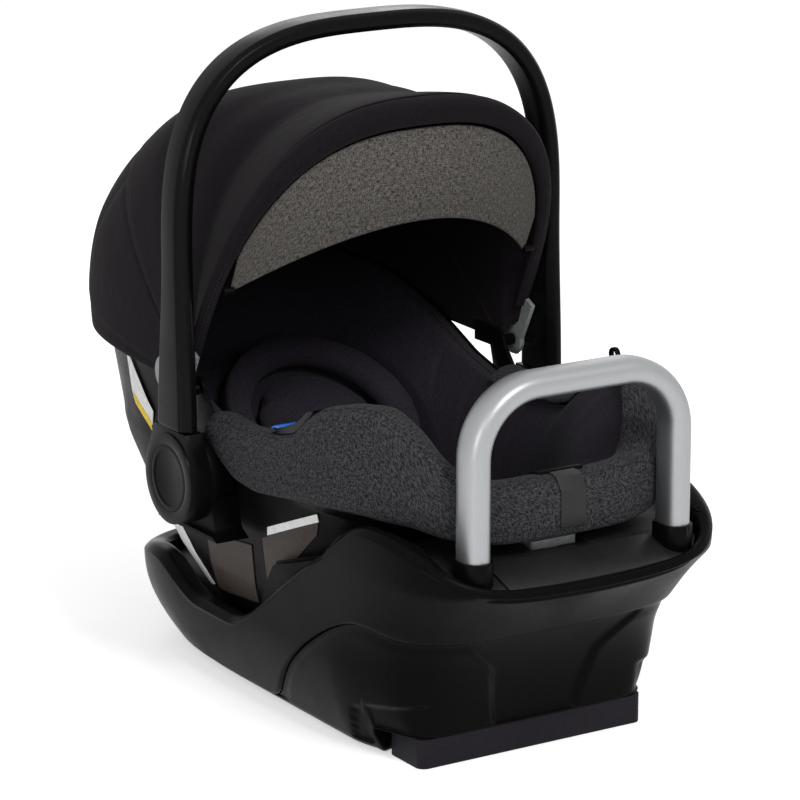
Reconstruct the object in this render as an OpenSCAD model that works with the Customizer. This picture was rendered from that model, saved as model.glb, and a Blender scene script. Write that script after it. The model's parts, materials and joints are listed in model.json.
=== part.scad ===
// Infant car seat: a baby carrier with carry handle and folding canopy, on a vehicle
// base with an anti-rebound bar. Millimetres, +Z up. The handle turns about the line
// y = 0, z = hub_z along X. -Y is the foot end, +Y the head end, and the base stands
// on z = 0.

/* [Vehicle base] */
// Reach of the base from the hub axis to its foot end
base_foot = 404; // [398:1:410]
// Reach of the base from the hub axis to its head end
base_head = 242; // [238:1:250]
// Half width of the base at the tray rim
base_half_w = 170; // [168:1:174]
// Height of the tray rim beside the carrier
tray_rim_z = 80; // [76:1:84]
// Height of the shoulders beside the foot end
shoulder_z = 238; // [234:1:240]
// Height of the deck's front edge
deck_front_z = 192; // [189:1:195]
// Wall of the moulded base shells
base_wall = 4; // [3:0.5:5]
// Height of the recline foot under the base
foot_h = 28; // [24:1:32]
// Travel of the recline foot
foot_travel = 30; // [20:1:36]

/* [Anti-rebound bar] */
// Distance between the centres of the bar's legs
bar_span = 222; // [216:1:228]
// Height of the top of the bar
bar_top_z = 386; // [370:1:400]
// Width of the bar's oval tube
bar_w = 25; // [22:1:27]
// Depth of the bar's oval tube
bar_d = 36; // [32:1:38]

/* [Carrier shell] */
// Half width of the shell at its rim
shell_half_w = 171; // [169:0.5:172]
// Wall of the shell
shell_wall = 4; // [3:0.5:5]
// Thickness of the padded liner
pad_t = 20; // [14:1:24]
// Thickness of the rim cover over the edge
cover_t = 15; // [12:1:17]

/* [Carry handle] */
// Width over the two hubs
hub_span = 445; // [443:1:449]
// Height of the hub axis
hub_z = 223; // [221:1:226]
// Radius of the hubs
hub_r = 45; // [42:1:47]
// Height of the crossbar's top
handle_top_z = 658; // [654:1:670]
// Thickness of the handle bar
handle_t = 19; // [17:1:21]
// Depth of the crossbar along Y
grip_d = 38; // [32:1:42]
// Radius of the hub buttons
button_r = 32.5; // [30:0.5:34]
// Travel of the hub buttons
button_travel = 4; // [2:0.5:4.5]

/* [Canopy] */
// Height of the canopy pivots
canopy_z = 300; // [297:1:303]
// Distance of the canopy pivots behind the hub axis
canopy_y = 24; // [21:1:27]
// Half width of the canopy fabric
canopy_half_w = 190; // [187:0.5:191]
// Radius of the rear canopy about its pivots
canopy_r = 286; // [276:1:288]
// Radius of the front hoop about its pivots
hoop_r = 327; // [322:1:328]
// Lean of the front hoop ahead of upright, degrees
hoop_lean = 27; // [24:1:30]
// Thickness of the canopy fabric with its padding
canopy_t = 4; // [3:0.5:5]

/* [Hidden] */

// Clearance between faces that rest on each other's bodies
seat_gap = 0.3;
// Radial clearance of the running fits
run_gap = 0.05;
$fn = 64;

// ---------------------------------------------------------------- helpers

function mix(a, b, t) = a + (b - a)*t;
function ease(t) = let (u = min(1, max(0, t))) u*u*(3 - 2*u);
function wave(t) = sin(180*min(1, max(0, t)));
function rev(l) = [for (i = [len(l) - 1:-1:0]) l[i]];

// Quarter of a superellipse of exponent n, from its side to its end, as [across, along]
function quarter(n, along, turns) = concat(
    [for (s = along) [pow(1 - pow(s, n), 1/n), s]],
    [for (k = turns) let (q = pow(1 - pow(along[len(along) - 1], n), 1/n)*cos(k))
        [q, pow(1 - pow(q, n), 1/n)]]);

// Stations round a plan outline, counter-clockwise from the side at x = +1
function stations(n_head, n_foot, along, turns = [15, 30, 45, 60, 75, 90]) = let (
    h = quarter(n_head, along, turns),
    f = quarter(n_foot, along, turns),
    last = len(h) - 1) concat(
    [for (i = [0:last]) h[i]],
    [for (i = [last - 1:-1:0]) [-h[i][0], h[i][1]]],
    [for (i = [1:last]) [-f[i][0], -f[i][1]]],
    [for (i = [last - 1:-1:1]) [f[i][0], -f[i][1]]]);

// A ring moved outwards in plan by d, one value or one for each point
function grow(r, d) = let (n = len(r)) [for (i = [0:n - 1])
    let (t = r[(i + 1)%n] - r[(i + n - 1)%n], di = is_list(d) ? d[i] : d)
        r[i] + di/norm([t[0], t[1]])*[t[1], -t[0], 0]];
// A ring moved to height z, one value or one for each point
function raise(r, z) = [for (i = [0:len(r) - 1]) [r[i][0], r[i][1], is_list(z) ? z[i] : z]];

// Faces between rings j and k. Where turn is true they split along the other diagonal
function ring_faces(n, j, k, turn = false) = [for (i = [0:n - 1]) each
    let (a = j*n + i, b = j*n + (i + 1)%n, c = k*n + i, d = k*n + (i + 1)%n)
        turn ? [[a, c, b], [b, c, d]] : [[a, c, d], [a, d, b]]];
// Flat strips across a ring that is the same on both sides of x = 0
function strip_faces(n, j, up) = let (o = j*n, h = n/2) [
    for (i = [0:h/2 - 1]) each let (a = o + i, b = o + i + 1, c = o + h - i - 1, d = o + h - i)
        (b == c ? [up ? [d, b, a] : [a, b, d]]
                : up ? [[d, c, b], [d, b, a]] : [[a, b, c], [a, c, d]]),
    for (i = [0:h/2 - 1]) each let (
        a = o + h + i, b = o + h + i + 1, c = o + n - i - 1, d = o + (n - i)%n)
        (b == c ? [up ? [d, b, a] : [a, b, d]]
                : up ? [[d, c, b], [d, b, a]] : [[a, b, c], [a, c, d]])];

// Solid tub through rings from its underside, over its rim and down to its inner floor.
// The first rings, as many as rising says, split as the inner faces of a tub round it do
module tub(rings, rising = 0) {
    n = len(rings[0]);
    m = len(rings);
    polyhedron([for (r = rings) each r],
        concat(strip_faces(n, 0, false),
            [for (j = [0:m - 2]) each ring_faces(n, j, j + 1, j < rising)],
            strip_faces(n, m - 1, true)));
}
// Closed band: the rings run once round its section
module band(rings) {
    n = len(rings[0]);
    m = len(rings);
    polyhedron([for (r = rings) each r],
        [for (j = [0:m - 1]) each ring_faces(n, j, (j + 1)%m)]);
}
// Bar of any section: flat rings, capped at both ends
module sweep(rings) {
    n = len(rings[0]);
    m = len(rings);
    polyhedron([for (r = rings) each r],
        concat([[for (i = [0:n - 1]) i]], [for (j = [0:m - 2]) each ring_faces(n, j, j + 1)],
            [[for (i = [n - 1:-1:0]) (m - 1)*n + i]]));
}
// Curved sheet: each ring runs along its outer face and back along its inner face
module sheet(rings) {
    n = len(rings[0]);
    m = len(rings);
    cap = function (j, up) [for (k = [0:n/2 - 2]) each
        let (a = j*n + k, b = a + 1, c = j*n + n - 2 - k, d = c + 1)
        (up ? [[d, c, b], [d, b, a]] : [[a, b, c], [a, c, d]])];
    polyhedron([for (r = rings) each r],
        concat(cap(0, false), [for (j = [0:m - 2]) each ring_faces(n, j, j + 1)], cap(m - 1, true)));
}
// Cylinder along +X from x0 to x1
module rod_x(x0, x1, r) { translate([x0, 0, 0]) rotate([0, 90, 0]) cylinder(r = r, h = x1 - x0); }
// A side profile [y, z], extruded along X from x0 to x1
module profile_x(x0, x1) {
    translate([x0, 0, 0]) rotate([90, 0, 90]) linear_extrude(x1 - x0) children();
}
module slab(x, y, z, r) {
    linear_extrude(z) union() {
        square([x - 2*r, y], center = true);
        square([x, y - 2*r], center = true);
        for (sx = [-1, 1], sy = [-1, 1]) translate([sx*(x/2 - r), sy*(y/2 - r)]) circle(r);
    }
}
module at_side(side) { if (side > 0) children(); else mirror([1, 0, 0]) children(); }

// ---------------------------------------------------------------- base

base_st = stations(4, 6, [0, 0.15, 0.3, 0.45, 0.6, 0.73, 0.745], [15, 30, 45, 60, 73, 75.5, 90]);
n_base = len(base_st);
rise_start = 55;
rise_len = 230;
// Height of the rim at station y
function rim_z(y) = tray_rim_z + (shoulder_z - tray_rim_z)*ease((-rise_start - y)/rise_len)
    - (shoulder_z - deck_front_z)*pow(min(1, max(0, (-290 - y)/(base_foot - 290))), 2)
    + 26*ease((y - 10)/115) - 14*ease((y - 130)/100);
function base_yf(z) = -(base_foot - 104*(1 - pow(min(z, deck_front_z)/deck_front_z, 2.6)));
function base_yh(z) = base_head - 60*pow(1 - min(z, 70)/70, 2);
function base_w(y, z) = base_half_w - 28*pow(1 - min(z, 90)/90, 1.6)
    + 9*ease((z - 90)/140) - 16*(1 - min(1, z/140))*ease((-200 - y)/80);
// Point of the outer surface at a station and a height
function base_point(st, z) = let (
    y0 = mix(base_yf(z), base_yh(z), (st[1] + 1)/2),
    y = y0 + 12*st[0]*st[0]*ease((-st[1] - 0.5)/0.5))
    [base_w(y, z)*st[0], y, z];
function base_ring(zs) = [for (i = [0:n_base - 1]) base_point(base_st[i], is_list(zs) ? zs[i] : zs)];
rim_zs = [for (st = base_st) rim_z(base_point(st, deck_front_z)[1])];
// Parting line between the two shells, an S rising towards the foot end
seam_low = 8;
seam_high = 137;
seam_zs = [for (st = base_st) let (y = base_point(st, 100)[1])
    seam_low + (seam_high - seam_low)*ease((-48 - y)/195) - 7*wave((-255 - y)/130)];
// Underside: flat, and stepped up over the recline foot
step_at = -0.735;
under_zs = [for (st = base_st) st[1] < step_at ? foot_h + seat_gap : 0];
seam_step = 2.5;
// Panel set back in the middle of the foot end, under the parting line
front_x = 45;
front_in = 4;

module base_lower() {
    out = function (t, d, cut = 0) grow(base_ring([for (i = [0:n_base - 1]) mix(under_zs[i], seam_zs[i], t)]),
        [for (st = base_st) st[1] < 0 && abs(st[0])*base_half_w < front_x ? d - cut : d]);
    rings = [
        raise(grow(base_ring(0), -11), under_zs),
        raise(out(0.05, -5), [for (z = under_zs) z + 2]),
        out(0.12, -seam_step - 0.5, front_in), out(0.5, -seam_step, front_in),
        out(0.86, -seam_step, front_in), out(0.93, -seam_step), out(1, -seam_step),
        out(1, -seam_step - base_wall), out(0.86, -seam_step - base_wall, front_in),
        out(0.5, -seam_step - base_wall, front_in),
        raise(grow(base_ring(6), -11 - base_wall), [for (z = under_zs) z + base_wall])
    ];
    color("#1a191b") difference() {
        tub(rings);
        for (s = [-1, 1]) translate([s*post_x, post_y, foot_h - 2])
            cylinder(r = post_r + run_gap, h = base_wall + 4);
    }
}

// Width of the rolled rim: narrow at the front, broad at the corners, full at the sides
corner_room = base_half_w - bar_span/2 - bar_w/2;
function rim_t(s) = lookup(s, [[-1, 9], [-0.98, 9], [-0.93, 0.345*corner_room],
    [-0.83, 0.6*corner_room], [-0.7, 17],
    [-0.5, 15], [-0.3, 17], [-0.15, 18], [0, 25], [1, 25]]);
rim_ts = [for (st = base_st) rim_t(st[1])];
function rim_ring(d, dz) = raise(grow(base_ring(rim_zs), d), [for (z = rim_zs) z + dz]);
rim_lip = 14;

module base_upper() {
    t = rim_ts;
    out = function (f, d) grow(base_ring([for (i = [0:n_base - 1])
        mix(seam_zs[i] + seat_gap, rim_zs[i] - 8, f)]), d);
    color("#1a191b") difference() {
        band([
            out(0, 0), out(0.33, 0), out(0.66, 0), out(1, 0),
            rim_ring(-2, -2.5), rim_ring(-7, 0),
            rim_ring([for (v = t) -min(v - 1, max(8, v - 5))], 0), rim_ring([for (v = t) -v + 0.5], -3),
            rim_ring([for (v = t) -v], -rim_lip), rim_ring([for (v = t) -v + base_wall], -rim_lip),
            rim_ring([for (v = t) -v + base_wall + 0.5], -base_wall - 2),
            rim_ring([for (v = t) -min(v - base_wall - 0.6, base_wall + 1)], -base_wall - 3),
            out(0.66, -base_wall), out(0.33, -base_wall), out(0, -base_wall)
        ]);
        for (s = [-1, 1]) at_screw(s) translate([0, 0, -screw_sink])
            cylinder(r = screw_r + run_gap, h = 12);
    }
}
// Screws sunk in the corners of the rim
screw_r = 4.5;
screw_sink = 4;
screw_place = [150, -352];
module at_screw(s) {
    y = screw_place[1];
    translate([s*screw_place[0], y, rim_z(y)]) rotate([atan(rim_z(y + 0.5) - rim_z(y - 0.5)), 0, 0]) children();
}
module deck_screws() {
    color("#0d0d0e") for (s = [-1, 1]) at_screw(s) translate([0, 0, -screw_sink]) difference() {
        cylinder(r = screw_r, h = 2.2);
        translate([0, 0, 0.8]) cylinder(r = screw_r/2, h = 3, $fn = 6);
    }
}

// ---------------------------------------------------------------- carrier shell form

shell_st = stations(3.4, 3.6, [0, 0.125, 0.19, 0.26, 0.33, 0.385, 0.44, 0.5, 0.56, 0.63, 0.7, 0.78]);
n_shell = len(shell_st);
// Height, foot end, head end, and half width as a share of the rim's
shell_form = [
    [34, -138, 52, 0.50], [42, -172, 84, 0.62], [56, -194, 118, 0.71], [80, -212, 158, 0.80],
    [113, -226, 200, 0.865], [160, -238, 247, 0.925], [205, -247, 287, 0.965],
    [222, -262, 297, 0.975], [234, -318, 303, 0.982], [248, -336, 311, 0.99],
    [262, -343, 318, 1], [306, -345, 337, 1], [360, -347, 352, 1], [400, -348, 359, 1]];
shell_floor_z = 34;
function form_col(c) = [for (r = shell_form) [r[0], r[c]]];
form_yf = form_col(1);
form_yh = form_col(2);
form_w = form_col(3);
function shell_point(st, z) = [
    shell_half_w*lookup(z, form_w)*st[0],
    mix(lookup(z, form_yf), lookup(z, form_yh), (st[1] + 1)/2), z];
function shell_ring(zs) = [for (i = [0:n_shell - 1])
    shell_point(shell_st[i], is_list(zs) ? zs[i] : zs)];
// Height of the fabric edge over the shell's rim, at station y
edge_form = [[-360, 276], [-338, 279], [-322, 296], [-300, 326], [-272, 344], [-235, 341],
    [-200, 331], [-180, 318], [-155, 296], [-124, 287], [-60, 281], [0, 283], [60, 300],
    [120, 330], [200, 358], [280, 370], [360, 372]];
edge_drop = 16;
edge_zs = [for (st = shell_st) lookup(shell_point(st, 306)[1], edge_form)];
shell_rim_zs = [for (z = edge_zs) z - edge_drop];

// Rings of the shell's surface moved out by d, at heights from the floor to the rim
shell_levels = [42, 56, 80, 113, 160, 205, 222, 234];
function shell_skin(z, d) = grow(shell_ring(z), d);
// Ring on the shell's wall, which is straight from its last level to the rim
function wall_ring(zs) = let (top = shell_levels[len(shell_levels) - 1]) [for (i = [0:n_shell - 1])
    let (st = shell_st[i], z = zs[i], rim = shell_rim_zs[i])
        z <= top ? shell_point(st, z)
            : mix(shell_point(st, top), shell_point(st, rim), (z - top)/(rim - top))];

module carrier_shell() {
    w = shell_wall;
    color("#1b1a1c") tub([
        shell_skin(shell_floor_z, 0), for (z = shell_levels) shell_skin(z, 0),
        grow(shell_ring(shell_rim_zs), 0), grow(shell_ring(shell_rim_zs), -w),
        for (k = [len(shell_levels) - 1:-1:1]) raise(shell_skin(shell_levels[k], -w), shell_levels[k] + 0.6),
        raise(shell_skin(shell_levels[0], -w), shell_floor_z + w)
    ]);
}

// Tray that receives the shell, with its inner face tray_gap outside the shell
tray_gap = 6;
tray_floor_z = 10;
tray_stop = -256;
module base_tray() {
    ys = [for (st = base_st) base_point(st, deck_front_z)[1]];
    lip = [for (i = [0:n_base - 1]) ys[i] < tray_stop ? deck_z(tray_stop) - 6
        : min(rim_zs[i] - rim_lip - seat_gap, deck_z(tray_stop) - 6)];
    held = function (r, y) [for (p = r) [p[0], max(p[1], y), p[2]]];
    rim = function (d, y) held(raise(grow(base_ring(rim_zs), [for (v = rim_ts) d - v]), lip), y);
    at = function (f, d, dz) let (z = [for (l = lip) mix(shell_floor_z + 4, min(l, 200), f)])
        raise(grow(held([for (i = [0:n_base - 1]) shell_point(base_st[i], z[i])], tray_stop + 6), d),
            [for (v = z) v + dz]);
    edge = rim(base_wall + 0.5, tray_stop - 4);
    color("#161517") tub([
        raise(shell_skin_at(base_st, shell_floor_z + 4, tray_gap), tray_floor_z),
        for (f = [0.14, 0.38, 0.75]) at(f, tray_gap + base_wall, -4),
        raise(edge, [for (l = lip) l - base_wall]), edge, rim(-1, tray_stop + 1),
        for (f = [0.75, 0.38, 0.14]) at(f, tray_gap, 0),
        raise(shell_skin_at(base_st, shell_floor_z + 4, tray_gap - 3), tray_floor_z + base_wall)
    ]);
}
function shell_skin_at(sts, z, d) = grow([for (st = sts) shell_point(st, z)], d);

// ---------------------------------------------------------------- base mechanism

post_r = 8;
post_x = 64;
post_y = -265;
foot_half_x = 126;
foot_y0 = -300;
foot_y1 = -243;

module recline_foot() {
    color("#29272b") {
        difference() {
            translate([0, (foot_y0 + foot_y1)/2, 0])
                slab(2*foot_half_x, foot_y1 - foot_y0, foot_h, 9);
            translate([0, foot_y1 + 3, -1]) slab(150, 30, foot_h - 7, 5);
        }
        for (s = [-1, 1]) translate([s*post_x, post_y, foot_h]) cylinder(r = post_r, h = foot_travel + 22);
    }
}
module foot_guides() {
    z0 = foot_h + seat_gap + base_wall;
    color("#3a383c") for (s = [-1, 1]) translate([s*post_x, post_y, z0]) difference() {
        union() {
            cylinder(r = post_r + 4, h = 16);
            cylinder(r = post_r + 6, h = 3);
        }
        translate([0, 0, -1]) cylinder(r = post_r + run_gap, h = 18);
    }
}

// Deck between the shoulders: a curved plate on posts, set below the rolled rim
deck_y0 = -base_foot + 9;
deck_y1 = -262;
deck_t = 3.5;
deck_sink = 2;
// Deck height at y, rising from its front edge
function deck_z(y) = deck_front_z + 22*(1 - pow(1 - min(1, max(0, (y - deck_y0)/108)), 2));
collar_y = -base_foot + 41;
bar_x = bar_span/2;
tab_y = deck_y0 + 74;
tab_w = 50;
tab_l = 26;

deck_form = [for (k = [0:12]) let (y = mix(deck_y0, deck_y1, k/12)) [y, deck_z(y)]];
// Points [y, z] along the deck from y0 to y1, moved up by lift
function deck_line(lift, y0, y1) = let (
    ys = concat(y0, [for (p = deck_form) if (p[0] > y0 + 0.1 && p[0] < y1 - 0.1) p[0]], y1))
    [for (y = ys) [y, lookup(y, deck_form) + lift]];
module deck_profile(lift, t, y0, y1) {
    polygon(concat(deck_line(lift, y0, y1), rev(deck_line(lift - t, y0, y1))));
}
// Outline of the deck, just inside the rolled rim
module deck_plan() {
    polygon([for (p = rim_ring([for (t = rim_ts) -t - seat_gap], 0)) if (p[1] < deck_y1 + 30) [p[0], p[1]]]);
}
deck_post = [30, -273];
module under_deck(lift) {
    profile_x(-200, 200) polygon(concat([[deck_y0 - 30, 0], [deck_y0 - 30, deck_z(deck_y0) + lift]],
        deck_line(lift, deck_y0, deck_y1), [[deck_y1, 0]]));
}
module front_deck() {
    z_tab = deck_z(tab_y) - 7 - seat_gap;
    color("#1d1c1e") difference() {
        intersection() {
            union() {
                profile_x(-150, 150) deck_profile(-deck_sink, deck_t, deck_y0, deck_y1);
                for (s = [-1, 1]) {
                    translate([s*deck_post[0], deck_post[1], foot_h + seat_gap + base_wall])
                        cylinder(r = 6, h = deck_z(deck_post[1]) - foot_h - base_wall - 4);
                    translate([s*bar_x, collar_y, deck_z(collar_y) - 13]) slab(bar_w + 9, bar_d + 4, 13, 12);
                }
                translate([0, tab_y, z_tab - deck_t]) slab(tab_w + 18, tab_l + 30, deck_t + 10, 5);
            }
            linear_extrude(400) deck_plan();
            under_deck(-deck_sink);
        }
        translate([0, tab_y, z_tab]) slab(tab_w + 11, tab_l + 23, 40, 4);
        translate([0, tab_y + 3 - tab_travel/2, z_tab - 20]) slab(20.6, 12.6 + tab_travel, 40, 2);
        for (s = [-1, 1]) translate([s*bar_x, collar_y, deck_z(collar_y) - leg_depth]) bar_section(3*run_gap, 40);
    }
}
module deck_panel() {
    half_x = bar_x - bar_w/2 - 9;
    color("#222023") intersection() {
        profile_x(-half_x, half_x) deck_profile(0.8, 0.8 + deck_sink, deck_y0, tab_y - tab_l/2 - 16);
        linear_extrude(400) deck_plan();
    }
}
// Oval outline of the bar with a growth g, and height h
module bar_section(g, h) {
    linear_extrude(h) bar_outline(g);
}
module bar_outline(g) {
    r = bar_w/2 + g;
    e = (bar_d - bar_w)/2;
    for (s = [-1, 1]) translate([0, s*e]) circle(r);
    square([2*r, 2*e], center = true);
}
bar_bend = 62;
module rebound_bar() {
    z0 = deck_z(collar_y) - leg_depth;
    zb = bar_top_z - bar_w/2 - bar_bend;
    xb = bar_x - bar_bend;
    color("#b9bcc0") translate([0, collar_y, 0]) {
        for (s = [-1, 1]) translate([s*bar_x, 0, z0]) linear_extrude(zb - z0) bar_outline(0);
        for (s = [0, 180]) rotate([0, 0, s]) translate([xb, 0, zb]) rotate([90, 0, 0])
            rotate_extrude(angle = 90) translate([bar_bend, 0]) bar_outline(0);
        translate([-xb, 0, zb + bar_bend]) rotate([0, 90, 0]) linear_extrude(2*xb) bar_outline(0);
    }
}
// Collar round the foot of each leg, with a pointed front
module bar_collar(side) {
    z0 = deck_z(collar_y) - 16;
    color("#121113") difference() {
        translate([side*bar_x, collar_y, z0]) difference() {
            linear_extrude(32) collar_outline();
            translate([0, 0, -1]) bar_section(3*run_gap, 40);
        }
        under_deck(0.05 - deck_sink);
    }
}
collar_nose = 5;
leg_depth = 10;
module collar_outline() {
    w = bar_w/2 + 1;
    bar_outline(3);
    polygon([[-w, -bar_d/2 + 6], [0, -bar_d/2 - collar_nose], [w, -bar_d/2 + 6]]);
}
module bar_collar_left() { bar_collar(-1); }
module bar_collar_right() { bar_collar(1); }

// Recline release tab, drawn towards the foot end
tab_travel = 8;
module recline_tab() {
    z = deck_z(tab_y) - 7;
    color("#8f9492") translate([0, tab_y + 3, z]) {
        difference() {
            slab(tab_w, tab_l, 8, 3);
            translate([0, 4, 5]) slab(tab_w - 10, tab_l - 12, 5, 3);
        }
        translate([0, 0, -10]) slab(20, 12, 11, 2);
    }
}
latch_z = tray_floor_z + base_wall + 9;
latch_r = 4;
latch_y = [-92, 12];
rail_x = 50;
rail_w = 12;
// Steel bars across the tray, held in saddles on its floor
module latch_bars() {
    color("#a3a6a9") for (y = latch_y) {
        translate([0, y, latch_z]) rod_x(-76, 76, latch_r);
        for (s = [-1, 1]) translate([s*70, y, (tray_floor_z + base_wall + latch_z)/2])
            cube([9, 16, latch_z - tray_floor_z - base_wall], center = true);
    }
}
// Rails under the shell, notched to drop over the latch bars
module latch_rails() {
    z0 = tray_floor_z + base_wall + seat_gap;
    color("#131214") for (s = [-1, 1]) difference() {
        translate([s*rail_x - rail_w/2, -124, z0]) cube([rail_w, 160, shell_floor_z - z0]);
        for (y = latch_y) translate([s*rail_x, y, 0]) {
            translate([0, 0, latch_z]) rod_x(-rail_w, rail_w, latch_r + 2.5);
            translate([-rail_w, -latch_r - 2.5, 0]) cube([2*rail_w, 2*latch_r + 5, latch_z]);
        }
    }
}

// ---------------------------------------------------------------- seat

core_gap = 0.5;
seat_y = -110;
seat_z0 = 84;
seat_round = 60;
seat_rise = 0.72;
// Height of the foam under the liner: a rounded V from the foot end to the head end
function seat_z(y) = seat_z0 + seat_rise*(sqrt(pow(y - seat_y, 2) + seat_round*seat_round) - seat_round);
function seat_zs(r) = [for (p = r) seat_z(p[1])];
core_rim = grow(shell_ring(shell_rim_zs), -shell_wall - 8);
core_floor = grow(shell_ring(150), -32);
core_floor_zs = seat_zs(core_floor);
core_knee = grow(shell_ring(205), -18);
core_knee_zs = [for (i = [0:n_shell - 1]) mix(core_floor_zs[i], shell_rim_zs[i], 0.69)];
core_top_zs = [for (z = shell_rim_zs) z - 1];

// The foam hangs in the shell from its rim. Its underside follows the seat, and its side
// keeps off the shell down to where it turns in under the seat
foam_t = 30;
foam_off = 3.5;
foam_turn = 14;
foam_low_zs = [for (i = [0:n_shell - 1]) mix(core_floor_zs[i], shell_rim_zs[i], 0.3)];
module seat_foam() {
    levels = [for (z = shell_levels) if (z > 200) z];
    side = function (zs, d) grow(wall_ring(zs), -shell_wall - d);
    color("#2a282c") tub([
        raise(grow(core_floor, -foam_turn), [for (z = core_floor_zs) z - foam_t]),
        side(foam_low_zs, foam_off),
        for (k = [0:len(levels) - 1]) side([for (z = foam_low_zs) max(levels[k], z + 3*(k + 1))], foam_off),
        side(core_top_zs, core_gap), raise(core_rim, core_top_zs),
        raise(core_knee, core_knee_zs), raise(core_floor, core_floor_zs)
    ], len(levels) + 2);
}
liner_gap = 0.5;
liner_top_zs = [for (z = core_top_zs) z + liner_gap + 0.1];
liner_floor = raise(grow(core_floor, -pad_t*0.5), [for (z = core_floor_zs) z + pad_t]);
module seat_liner() {
    g = liner_gap;
    color("#1c1920") tub([
        raise(grow(core_floor, -g), [for (z = core_floor_zs) z + g]),
        raise(grow(core_knee, -g), [for (z = core_knee_zs) z + g]),
        raise(grow(core_rim, -g), liner_top_zs), raise(grow(core_rim, -pad_t*0.6), liner_top_zs),
        raise(grow(core_knee, -pad_t*0.6), [for (z = core_knee_zs) z + pad_t*0.4]),
        liner_floor
    ], 2);
}
// Height of the liner's face on the centre line
liner_line = [for (i = [3*n_shell/4:-1:n_shell/4]) [liner_floor[i][1], liner_floor[i][2]]];
function liner_z(y) = lookup(y, liner_line);

insert_t = 16;
insert_y = [-188, -166, -140, -110, -80, -50, -22];
module seat_insert() {
    color("#1b191f") sweep([for (y = insert_y) let (
        w = 84 - 0.006*pow(y + 110, 2),
        t = insert_t*(y == insert_y[0] || y == insert_y[6] ? 0.45 : 1),
        z = liner_z(y) + 0.8)
        [[-w + 8, y, z], [-w, y, z + t*0.5], [-w + 12, y, z + t], [w - 12, y, z + t],
         [w, y, z + t*0.5], [w - 8, y, z]]]);
}

ring_r = 106;
ring_tube = 34;
ring_h = 32;
pillow_r = 68;
pillow_h = 20;
pad_y = 92;
// Places a round pad of radius r on the liner, touching it at its low and high ends
module on_back(r) {
    reach = r*0.84;
    low = liner_z(pad_y - reach);
    high = liner_z(pad_y + reach);
    translate([0, pad_y, (low + high)/2 + 0.4]) rotate([atan((high - low)/(2*reach)), 0, 0]) children();
}
module head_pad_ring() {
    color("#1e1b22") on_back(ring_r) rotate_extrude() translate([ring_r - ring_tube, 0]) union() {
        translate([ring_h/2, 0]) square([ring_tube - ring_h/2 - 6, ring_h]);
        translate([ring_h/2, ring_h/2]) circle(ring_h/2);
        translate([ring_tube - 6, 6]) circle(6);
        translate([ring_tube - 6, 6]) square([6, ring_h - 12]);
        translate([ring_tube - 6, ring_h - 6]) circle(6);
    }
}
module head_pillow() {
    color("#1f1d24") on_back(pillow_r) union() {
        cylinder(r = pillow_r, h = pillow_h - 8);
        translate([0, 0, pillow_h - 8]) cylinder(r1 = pillow_r, r2 = pillow_r - 10, h = 8);
    }
}

// Flat strap along points in the y-z plane, at x from xa to xb
strap_w = 25;
strap_t = 1.6;
module strap(pts, w) {
    n = len(pts);
    sweep([for (i = [0:n - 1]) let (
        t = pts[min(n - 1, i + 1)] - pts[max(0, i - 1)],
        u = [0, -t[2], t[1]]/norm([t[1], t[2]]), c = pts[i], h = w/2)
        [c - [h, 0, 0], c - [h, 0, 0] + strap_t*u, c + [h, 0, 0] + strap_t*u, c + [h, 0, 0]]]);
}
function over(y, lift) = liner_z(y) + 0.8 + insert_t + lift;
// Places a flat piece on the insert, touching it at y - reach and y + reach
function seat_tilt(y, reach) = atan((liner_z(y + reach) - liner_z(y - reach))/(2*reach));
module on_insert(y, reach, lift) {
    translate([0, y, (over(y - reach, lift) + over(y + reach, lift))/2])
        rotate([seat_tilt(y, reach), 0, 0]) children();
}
harness_y = [-34, -50, -66, -82, -98, -114];
function harness_pts(s, lift) = [for (k = [5:-1:0]) let (y = harness_y[k])
    [s*mix(24, 46, 1 - k/5), y, over(y, lift)]];
module harness(side) { color("#141216") strap(harness_pts(side, 2.2), strap_w); }
module harness_left() { harness(-1); }
module harness_right() { harness(1); }
module shoulder_pad(side) {
    color("#1d1a21") sweep([for (k = [0:3]) let (
        y = harness_y[k], x = side*mix(24, 46, 1 - k/5), z = over(y, 4.6), t = k == 0 || k == 3 ? 7 : 12)
        [[x + 21, y, z], [x + 21, y, z + t*0.6], [x + 14, y, z + t], [x - 14, y, z + t],
         [x - 21, y, z + t*0.6], [x - 21, y, z]]]);
}
module shoulder_pad_left() { shoulder_pad(-1); }
module shoulder_pad_right() { shoulder_pad(1); }
clip_y = -92;
module chest_clip() {
    color("#121113") on_insert(clip_y, 8, 4.4) {
        slab(78, 15, 6, 4);
        translate([0, 0, 6]) slab(26, 13, 2, 4);
    }
}
buckle_y = -136;
buckle_l = 42;
button_slide = 5;
module buckle() {
    color("#151416") on_insert(buckle_y, buckle_l/2, 0.9) difference() {
        slab(44, buckle_l, 17, 7);
        translate([0, -5, 9]) slab(24 + 1, 20 + 1, 20, 4);
    }
}
module buckle_button() {
    color("#a32a24") on_insert(buckle_y, buckle_l/2, 0.9)
        translate([0, -5, 9 + button_slide + 0.6]) slab(24, 20, 4, 3.6);
}
crotch_y = [-180, -175, -166, -161];
module crotch_strap() {
    color("#141216") strap([for (y = crotch_y) [0, y, over(y, 0.9)]], 38);
}
module crotch_pad() {
    color("#1d1a21") sweep([for (k = [3:-1:0]) let (
        y = crotch_y[k], z = over(y, 3), t = k == 0 || k == 3 ? 6 : 12)
        [[30, y, z], [30, y, z + t*0.6], [22, y, z + t], [-22, y, z + t], [-30, y, z + t*0.6], [-30, y, z]]]);
}

// ---------------------------------------------------------------- rim cover and trim

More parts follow.
